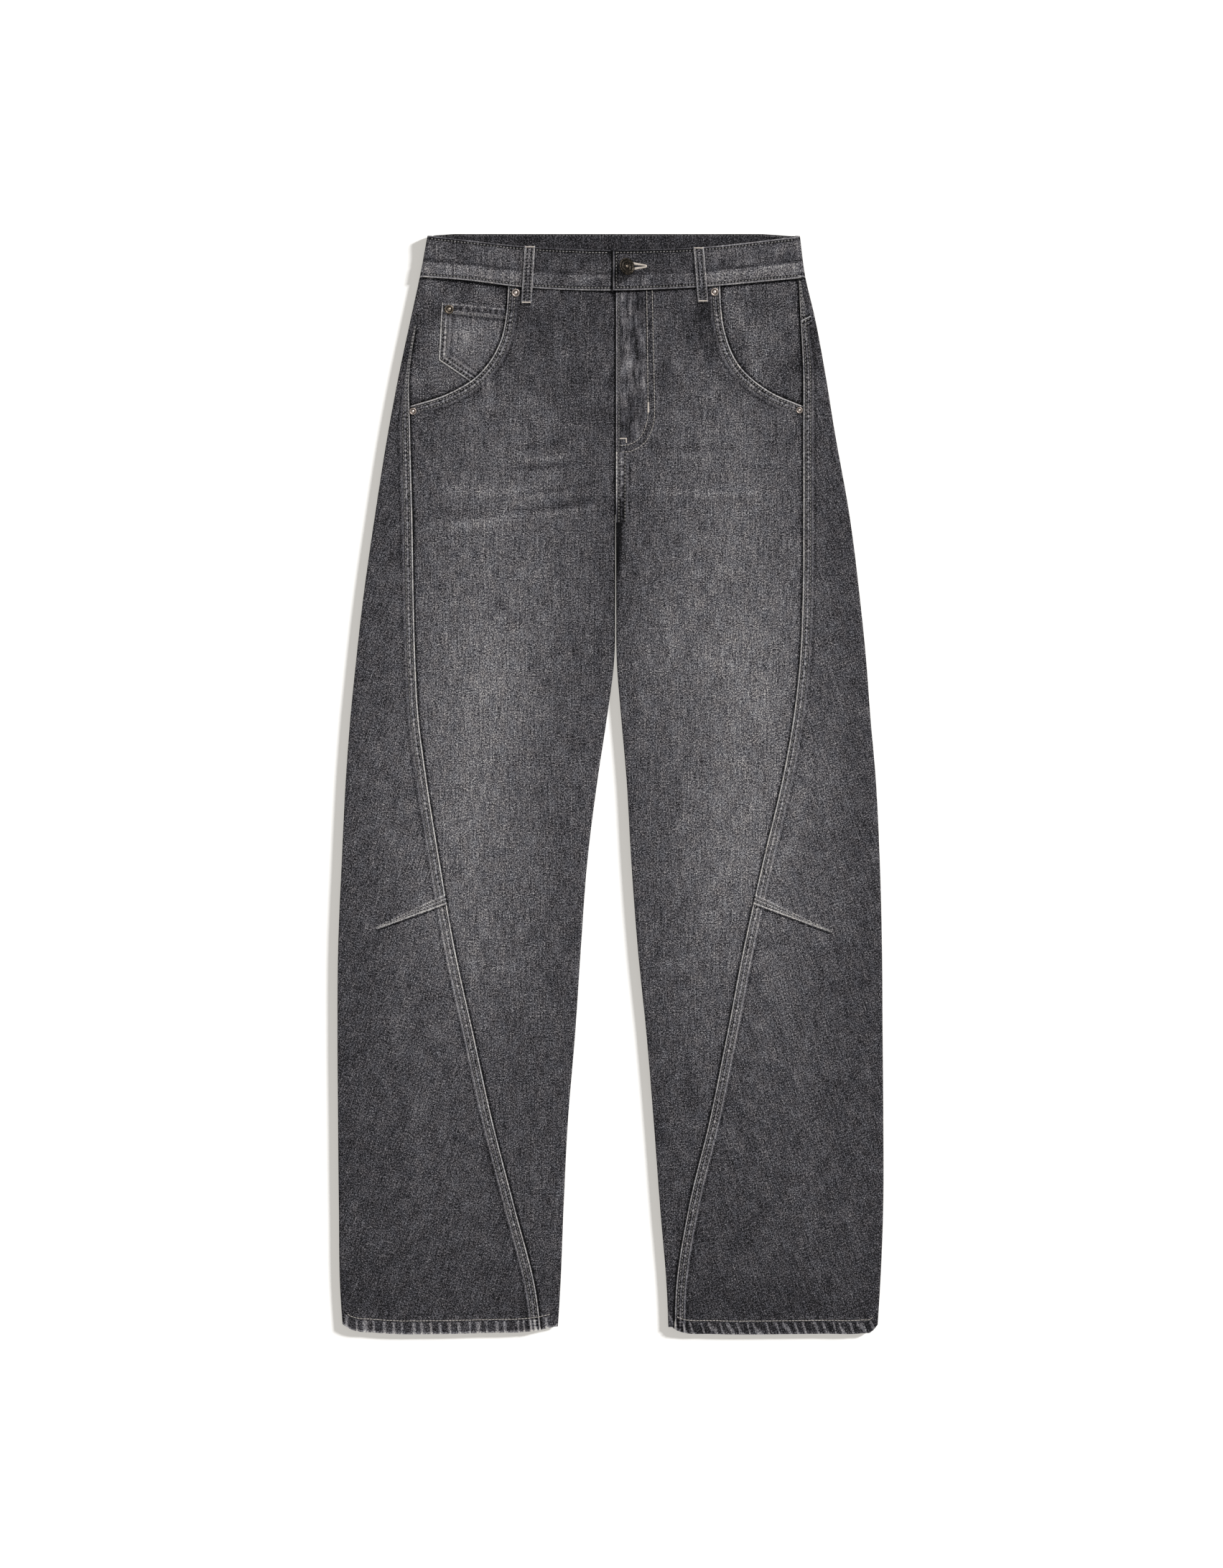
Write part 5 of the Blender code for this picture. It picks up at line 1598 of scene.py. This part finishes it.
# %% [markdown]
# ## Rows on the panels
# A panel is sewn in pairs of rows, along its swept seam, its pocket mouth and its dart, and in one
# row round its hem. Each row is a list of places on the cloth, worked out from the same lines as
# the cloth's form, so that the thread lies in its grooves.

# %% Rows on the panels
def seam_rows(side):
    """The two rows of the swept seam, from the waistband to the hem."""
    y = np.arange(min(edge(BAND_LOWER, side.seam(480.0)) - 2, SEAM_STARTS[side.name]), HEM_LINE - 4, -3.0)
    rows = []
    for d in (FIRST_ROW, SECOND_ROW):
        x = side.seam(y) + side.sign * d * squeeze(side, y)
        rows.append(points(x, y, side.height(x, y) + edge(SEAM_FORM, d) + 0.16))
    for d in (FIRST_ROW, SECOND_ROW) if side is LEFT else ():
        reach = np.arange(0.5, float(fold_width(side, YOKE_AT_FOLD)) + 1.0, 1.5)
        x = side.seam(YOKE_AT_FOLD) + side.sign * reach
        y = yoke_line("top", reach, fold_width(side, YOKE_AT_FOLD)) - GAP - d
        rows.append(points(x, y, side.height(x, y) + 0.75))
    return rows


def offset_row(line, inset, start, stop, height):
    """A row beside a line, inset to its left, at a height given by a function of place."""
    place, normal = line.at(np.arange(start, stop, 2.0))
    place = place + normal * inset
    return points(place[:, 0], place[:, 1], height(place[:, 0], place[:, 1]) + 0.16)


def scoop_rows(side):
    """The two rows along the pocket mouth."""
    line = SCOOP_LINE[side.name]
    rows = []
    for d in (FIRST_ROW, SECOND_ROW):
        rows.append(offset_row(line, -d * side.sign, 2.0, line.knots[-1] - 1,
                               lambda x, y: side.height(x, y) + edge(SEAM_FORM, d)))
    return rows


def dart_rows(side):
    """Two rows along the dart, which close up towards its point, over the seam's edge."""
    reach = np.arange(0.5, DART_LENGTH[side.name] - 1, 2.0)
    rows = []
    for share in (0.40, 0.82):
        y = dart_edge(reach) + np.maximum(dart_room(reach) * share, 0.5)
        x = side.seam(y) + side.sign * reach
        lifted = dart_taper(side, reach) + edge(SEAM_FORM, reach)
        rows.append(points(x, y, side.height(x, y) + lifted + 0.14))
    return rows


def hem_rows(side):
    """One row round the top of the hem."""
    margin = side.sign * 5.0
    ends = side.outer(HEM_MIDDLE) - margin, side.inner(HEM_MIDDLE) + margin
    x = np.arange(*ends, -side.sign * 3.0)
    y = side.hem(x) + HEM_DEPTH
    beyond = side.sign * (x - side.seam(y))
    lifted = edge(SEAM_FORM, np.where(beyond > 0, beyond, FAR))
    return [points(x, y, side.height(x, y) + lifted + 0.1)]


for side in SIDES:
    stitch_rows(f"thread_seam_{side.name}", seam_rows(side) + dart_rows(side), 41 + side.sign)
    stitch_rows(f"thread_mouth_{side.name}", scoop_rows(side), 44 + side.sign)
    stitch_rows(f"thread_hem_{side.name}", hem_rows(side), 47 + side.sign, FLY_THREAD, 1.55, 0.34)

# %% [markdown]
# ## Rows on the fly, the waistband, the loops and the coin pocket
# These rows sit on pieces with heights of their own, so each is given by its line and the height of
# the surface there. The J of the fly is sewn in longer stitches, and those of the waistband's back,
# the loops and the coin pocket are finer.

# %% Rows on the fly, waistband, loops and coin pocket
FLY_ROWS_END = 251.0


def fly_height(x, y):
    """Outer face of the left front at the fly."""
    return LEFT.height(x, y) + 0.2


def straight_row(x0, y0, x1, y1, height):
    """A row along a straight line."""
    t = np.linspace(0, 1, max(3, int(np.hypot(x1 - x0, y1 - y0) / 2.5)))
    x, y = x0 + (x1 - x0) * t, y0 + (y1 - y0) * t
    return points(x, y, height(x, y) + 0.14)


def band_height(x, y):
    """Outer face of the waistband's front, on the lap at the fly."""
    lapped = np.where(x > BAND_END, (BAND_WALL + GAP) * (1 - step(x, *BAND_LAP_RAMP)), 0.0)
    return BAND_HEIGHT + lapped


def band_row(up, start, stop):
    """A row along the front of the waistband, up from its lower edge."""
    x = np.arange(start, stop, 2.5)
    low, high = curve(BAND_LOWER, x), curve(BAND_UPPER, x)
    y = low + (high - low) * up / BAND_TALL
    return points(x, y, band_height(x, y) + 0.05)


j_rows = [offset_row(line, 0.0, 1.0, line.knots[-1], fly_height) for line in (J_LINE, J_INNER)]
fly_rows = [straight_row(FLY_EDGE + across, top, FLY_EDGE + across, FLY_ROWS_END, fly_height)
            for across, top in ((FIRST_ROW, 470.0), (FLY_SECOND_ROW, 314.0))]
stitch_rows("thread_fly_edge", fly_rows, 50)
stitch_rows("thread_fly", j_rows, 51, FLY_THREAD, 1.35, 0.32)

upper_row = BAND_TALL - FIRST_ROW
band_rows = [band_row(FIRST_ROW, -176.0, 0.0), band_row(upper_row, -172.0, 0.0),
             band_row(FIRST_ROW, BAND_END + 3.0, 181.0), band_row(upper_row, BAND_END + 3.0, 176.0)]
x = BAND_END + 3.2
low, high = curve(BAND_LOWER, x) + 2.8, curve(BAND_UPPER, x) - 2.8
band_rows.append(points(x + np.zeros(14), np.linspace(low, high, 14), band_height(x, low) + 0.05))
back_x = np.arange(-166.0, 170.0, 2.5)
back_row = points(back_x, edge(BAND_BACK, back_x) - 1.5, BAND_WALL - 0.02)
stitch_rows("thread_waistband", band_rows, 53)
stitch_rows("thread_waistband_back", [back_row], 54, radius=0.18)

loop_rows = []
for side in SIDES:
    t = np.linspace(0.02, 0.98, 26)
    x, y = loop_place(side, t)
    z = loop_low(side, x, y, t) + LOOP_WALL
    loop_rows += [points(x + off, y, z) for off in (-3.0, 3.0)]
stitch_rows("thread_loops", loop_rows, 55, half=1.05, radius=0.25)


def coin_height(x, y):
    """Outer face of the coin pocket."""
    return facing_height(RIGHT, x, y) + GAP + POCKET_WALL


coin_line = Line(COIN_EDGE)
mouth_top = scoop_point(RIGHT, np.array([COIN_MOUTH[0]]))[0][0]
coin_rows = [offset_row(coin_line, FIRST_ROW, 1.0, coin_line.knots[-1] - 2, coin_height),
             offset_row(coin_line, SECOND_ROW, 8.0, coin_line.knots[-1] - 8, coin_height),
             *[straight_row(-159.0, 459.8 - d, mouth_top[0] - 1.0, mouth_top[1] - d,
                            lambda x, y: coin_height(x, y) + 0.2) for d in (COIN_HEM - 1.6, COIN_HEM)]]
stitch_rows("thread_coin_pocket", coin_rows, 57, half=1.0, radius=0.24)

# %% [markdown]
# ## Bar tacks and the buttonhole
# A bar tack is a row of threads laid side by side across the end of a seam. The buttonhole is edged
# by short threads all round its slit, wide at the button and narrow at the far end. Both are rows of
# the same bead, turned across their line.

# %% Bar tacks and the buttonhole
THREAD_GAP = 0.42


def tack(x0, y0, x1, y1, wide, height):
    """Centres and runs of threads laid across a line, each as long as the tack is wide."""
    run = np.array([x1 - x0, y1 - y0])
    length = np.hypot(*run)
    count = max(3, int(length / THREAD_GAP))
    t = np.linspace(0, 1, count)
    x, y = x0 + run[0] * t, y0 + run[1] * t
    centres = points(x, y, height(x, y) + 0.22)
    across = np.array([-run[1], run[0], 0.0]) / length
    return centres, np.tile(across, (count, 1)), np.full(count, wide / 2)


def tacks(name, made, look, radius=0.26):
    """One mesh of several tacks."""
    centres, runs, halves = (np.concatenate([part[i] for part in made]) for i in range(3))
    print(f"{name}: {len(centres)} threads")
    return finish_mesh(name, *beads(centres, runs, halves, radius), look)


def loop_tack(side, share, look_wide):
    """A tack across a belt loop, a share of the way down it."""
    x, y = loop_place(side, share)
    z = loop_low(side, np.array([x]), np.array([y]), np.array([share]))[0] + LOOP_WALL
    return tack(x - 4.0, y, x + 4.0, y, look_wide, lambda px, py: z + 0 * px)


tacks("thread_bar_tacks", [
    tack(36.2, 364.5, 36.2, 355.2, 1.7, fly_height),
    tack(9.3, 330.0, 15.4, 330.2, 1.3, fly_height),
    tack(15.0, 330.2, 15.2, 326.2, 1.2, fly_height),
    *[loop_tack(side, 0.975, 1.3) for side in SIDES],
    *[loop_tack(side, 0.022, 1.1) for side in SIDES],
], CREAM_THREAD)

SLIT = (20.5, 33.4, 494.6)


def buttonhole_threads():
    """Threads round the slit: two rows that close together, and a fan at the far end."""
    x = np.arange(SLIT[0], SLIT[1], THREAD_GAP)
    t = (x - SLIT[0]) / (SLIT[1] - SLIT[0])
    off = 2.7 - 2.0 * t
    halves = 1.3 - 0.5 * t
    centres, runs, sizes = [], [], []
    for sign in (-1, 1):
        y = SLIT[2] + sign * (off + 0.1)
        centres.append(points(x, y, band_height(x, y) + 0.3))
        runs.append(points(0.25 + 0 * x, sign + 0 * x, 0.0))
        sizes.append(halves)
    fan = np.radians(np.linspace(-80, 80, 9))
    fx, fy = SLIT[1] + 0.9 * np.cos(fan), SLIT[2] + 0.8 * np.sin(fan)
    centres.append(points(fx, fy, band_height(fx, fy) + 0.3))
    runs.append(points(np.cos(fan), np.sin(fan), 0.0))
    sizes.append(np.full(9, 0.8))
    return np.concatenate(centres), np.concatenate(runs), np.concatenate(sizes)


tacks("thread_buttonhole", [buttonhole_threads()], CREAM_THREAD, 0.24)

# %% [markdown]
# ## Button and rivets
# The fly closes with a tack button of dark aged brass, pressed in rings, and it has tipped over on
# its shank. Five small rivets hold the pocket corners: four are coppered, and the coin pocket's is
# as dark as the button. All are turned forms, so each is a profile swept round its axis.

# %% Button and rivets
BUTTON_RINGS = [
    (0, -0.9), (3.4, -0.9), (7.2, -0.75), (8.1, -0.55), (8.45, -0.2), (8.5, 0.15), (8.3, 0.55),
    (7.9, 0.82), (7.4, 0.9), (6.9, 0.78), (6.5, 0.5), (6.1, 0.3), (5.5, 0.28), (5.1, 0.42), (4.7, 0.62),
    (4.2, 0.66), (3.8, 0.5), (3.4, 0.22), (2.8, 0.12), (2.3, 0.2), (1.9, 0.5), (1.4, 0.78), (0.8, 0.9),
    (0, 0.93)
]
RIVET_RINGS = [
    (0, 0), (0.92, 0), (1, 0.12), (1, 0.35), (0.95, 0.62), (0.86, 0.78), (0.74, 0.78), (0.64, 0.6),
    (0.56, 0.42), (0.48, 0.42), (0.42, 0.62), (0.34, 0.95), (0.2, 1.18), (0, 1.26)
]


def lathe(rings, segments):
    """Points and faces of a closed profile turned round Z; both its ends are on the axis."""
    radius, rise = np.array(rings[1:-1]).T
    turns = np.linspace(0, 2 * pi, segments, endpoint=False)
    body = np.stack(np.broadcast_arrays(radius[:, None] * np.cos(turns), radius[:, None] * np.sin(turns),
                                        rise[:, None]), axis=-1).reshape(-1, 3)
    co = np.concatenate([body, [(0, 0, rings[0][1]), (0, 0, rings[-1][1])]])
    turn = np.arange(segments)
    ahead = (turn + 1) % segments
    last = (len(radius) - 1) * segments
    low = np.stack([turn, np.full(segments, len(body)), ahead], axis=-1)
    high = np.stack([last + turn, last + ahead, np.full(segments, len(body) + 1)], axis=-1)
    return co, ring_faces(len(radius), segments).tolist() + low.tolist() + high.tolist()


def metal_material(name, dark, light, scale):
    """Aged metal: dark in the hollows, rubbed bright and painted with a highlight on what stands up,
    cloudy all over.
    """
    made, shader = material(name)
    x, y, z = object_place()
    patina = noise(join(x / (scale * MM), y / (scale * MM), z / (scale * MM)), 3.0)
    worn = (carried_tone() + patina * 0.18).most(0.0).least(1.0)
    colour = Wire.node("ShaderNodeMix", {"data_type": "RGBA"}, 2, n0=worn, n6=(*dark, 1), n7=(*light, 1))
    scratch = noise(join(x / (0.25 * MM), y / (0.9 * MM), z), 2.0)
    bump = Wire.node("ShaderNodeBump", Height=patina + scratch * 0.4, Strength=0.5, Distance=0.03 * MM)
    rough = 0.42 - worn * 0.14 + patina * 0.05
    plug(shader, Base_Color=colour, Roughness=rough, Normal=bump, Metallic=1.0)
    return made


BRASS = metal_material("aged_brass", (0.014, 0.012, 0.010), (0.40, 0.33, 0.26), 1.6)
COPPER = metal_material("worn_copper", (0.07, 0.045, 0.035), (0.85, 0.76, 0.69), 1.0)


def turned(name, rings, segments, plane, look, worn):
    """A turned piece in a plane given in millimetres, with how light each ring is: rubbed metal, and a
    painted highlight on the highest rings.
    """
    co, faces = lathe(rings, segments)
    spots = np.array([plane @ Vector(p) for p in co])
    wear = np.concatenate([np.repeat(worn[1:-1], segments), [worn[0], worn[-1]]])
    return finish_mesh(name, spots, faces, look, tones=wear * 255)


def button():
    """The button: its head leans over on its shank, which stands on the band's under end."""
    axis = Vector((-sin(radians(BUTTON_LEAN_AXIS)), cos(radians(BUTTON_LEAN_AXIS)), 0))
    lean = Matrix.Rotation(radians(BUTTON_LEAN), 4, axis)
    plane = Matrix.Translation((*BUTTON, BUTTON_HEAD_HEIGHT)) @ lean
    rise = np.array([ring[1] for ring in BUTTON_RINGS])
    worn = 0.05 * np.clip((rise - 0.35) * 1.8, 0, 1)
    # The dome in the middle is rubbed pale and painted with a highlight.
    worn[-2:] = 0.6
    head = turned("tack_button_head", BUTTON_RINGS, 72, plane, BRASS, worn)
    base = BAND_HEIGHT + GAP
    top = BUTTON_HEAD_HEIGHT - base - 0.6
    post = [(0.0, 0.0), (BUTTON_SHANK, 0.0), (BUTTON_SHANK, 0.4), (2.4, 0.9), (2.2, top - 0.8),
            (2.2, top - 0.2), (0.0, top - 0.1)]
    post_piece = turned("tack_button_post", post, 32, Matrix.Translation((*BUTTON, base)), BRASS,
                        np.full(len(post), 0.2))
    return head, post_piece


head, post_piece = button()
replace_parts(head, "button")

for name, side_name, spot, diameter in RIVETS:
    side = RIGHT if side_name == "right" else LEFT
    seat, look = side.height(*spot) + SEAM_LIFT, COPPER
    if name == "rivet_coin":
        seat, look = facing_height(side, *spot) + GAP + POCKET_WALL, BRASS
    rings = [(radius * diameter / 2, rise) for radius, rise in RIVET_RINGS]
    # The higher a ring stands, the lighter it is: rubbed metal, and a painted highlight on the dome.
    worn = np.clip(np.array([rise for radius, rise in rings]) * 1.3 - 0.6, 0, 1)
    made = turned(f"{name}_turned", rings, 40, Matrix.Translation((*spot, float(seat) + GAP)), look, worn)
    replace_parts(made, name)
print("button and", len(RIVETS), "rivets")

# %% [markdown]
# ## Flat sizes of the cloth
# The flat size of each cloth piece is worked out: the width and length that it smooths out to, and
# its area, because no piece is a rectangle.

# %% Flat sizes of the cloth
def declare(name):
    """Flat width, length and area of a piece in metres, worked out and not kept."""
    piece = PIECES[name]
    wide, long, area = (value * MM for value in piece["flat"])
    area = min(area * MM, wide * long)


for side in SIDES:
    n = side.name
    declare(f"back_panel_{n}")
    declare(f"back_yoke_{n}")
    declare(f"front_panel_{n}")
    declare(f"hip_facing_{n}")
    declare(f"belt_loop_strip_{n}")
declare("coin_pocket_patch")
declare("waistband_strip")
print("pieces:", len(PIECES))

# %% [markdown]
# ## Table, light and camera
# The photo looks straight down on a white table. Soft light comes from all round, with a low lamp at
# the upper right that throws a soft shadow to the left and below. That lamp lights only the table,
# and a second, higher one only the cloth, so that the shadow is as wide as in the photo while the
# cloth stays evenly lit. A long lens from high up keeps the outline free of perspective.

# %% Table, light and camera
TABLE_WHITE = 0.15
TABLE_GLOW = (0.480, 0.462, 0.432)


def floor():
    """The white table, which glows a little: painted light that keeps its shadow an even pale grey."""
    made, shader = material("white_table")
    x, y = object_place()[:2]
    fine = noise(join(x * 40.0, y * 40.0), 2.0)
    grey = TABLE_WHITE + fine * 0.004
    plug(shader, Base_Color=Wire.node("ShaderNodeCombineColor", Red=grey, Green=grey, Blue=grey),
         Roughness=0.9, Specular_IOR_Level=0.0, Emission_Color=(*TABLE_GLOW, 1), Emission_Strength=1.0)
    bpy.ops.mesh.primitive_plane_add(size=8.0, location=(0, 0, -0.0002))
    plane = bpy.context.object
    plane.name = "floor"
    plane.data.materials.append(made)
    return plane


def lamp(name, strength, direction, spread, receivers):
    """A sun whose light reaches only the given objects."""
    data = bpy.data.lights.new(name, "SUN")
    data.energy = strength
    data.angle = radians(spread)
    made = bpy.data.objects.new(name, data)
    made.rotation_mode = "QUATERNION"
    made.rotation_quaternion = Vector(direction).to_track_quat("Z", "Y")
    bpy.context.scene.collection.objects.link(made)
    group = bpy.data.collections.new(f"{name}_receivers")
    for receiver in receivers:
        group.objects.link(receiver)
    made.light_linking.receiver_collection = group
    return made


TABLE = floor()
AMBIENT = 0.55
TABLE_SUN, CLOTH_SUN = 12.0, 1.5
LOW, HIGH = radians(21), radians(42)
world = bpy.data.worlds.new("studio")
world.use_nodes = True
sky = world.node_tree.nodes["Background"].inputs
sky["Color"].default_value, sky["Strength"].default_value = (1, 1, 1, 1), AMBIENT
bpy.context.scene.world = world
lamp("table_sun", TABLE_SUN / sin(LOW), (0.90 * cos(LOW), 0.42 * cos(LOW), sin(LOW)), 8.0, [TABLE])
lamp("cloth_sun", CLOTH_SUN / sin(HIGH), (0.62 * cos(HIGH), 0.78 * cos(HIGH), sin(HIGH)), 10.0,
     list(PIECES.values()))

PIXEL = 0.687 * MM
PHOTO_WIDE, PHOTO_TALL = 1703, 2184
MIDDLE_PIXEL = 850
CENTRE_X = (PHOTO_WIDE / 2 - MIDDLE_PIXEL) * PIXEL
LENS, SENSOR = 135.0, 36.0
camera_data = bpy.data.cameras.new("camera")
camera_data.lens = LENS
camera_data.sensor_width = SENSOR
camera = bpy.data.objects.new("camera", camera_data)
camera.location = (CENTRE_X, 0.0, PHOTO_TALL * PIXEL * LENS / SENSOR)
camera_data.clip_end = 100.0
bpy.context.scene.collection.objects.link(camera)
bpy.context.scene.camera = camera
bpy.context.scene.view_settings.view_transform = "Standard"
print("camera at", [round(v, 3) for v in camera.location])

# %% [markdown]
# ## Triangles
# The shells stand a little proud of the CAD solids, as cloth does. The triangles of all the pieces
# are counted.

# %% Triangles
bpy.context.view_layer.update()
triangles = sum(sum(len(p.vertices) - 2 for p in piece.data.polygons) for piece in PIECES.values())
print("triangles:", triangles)
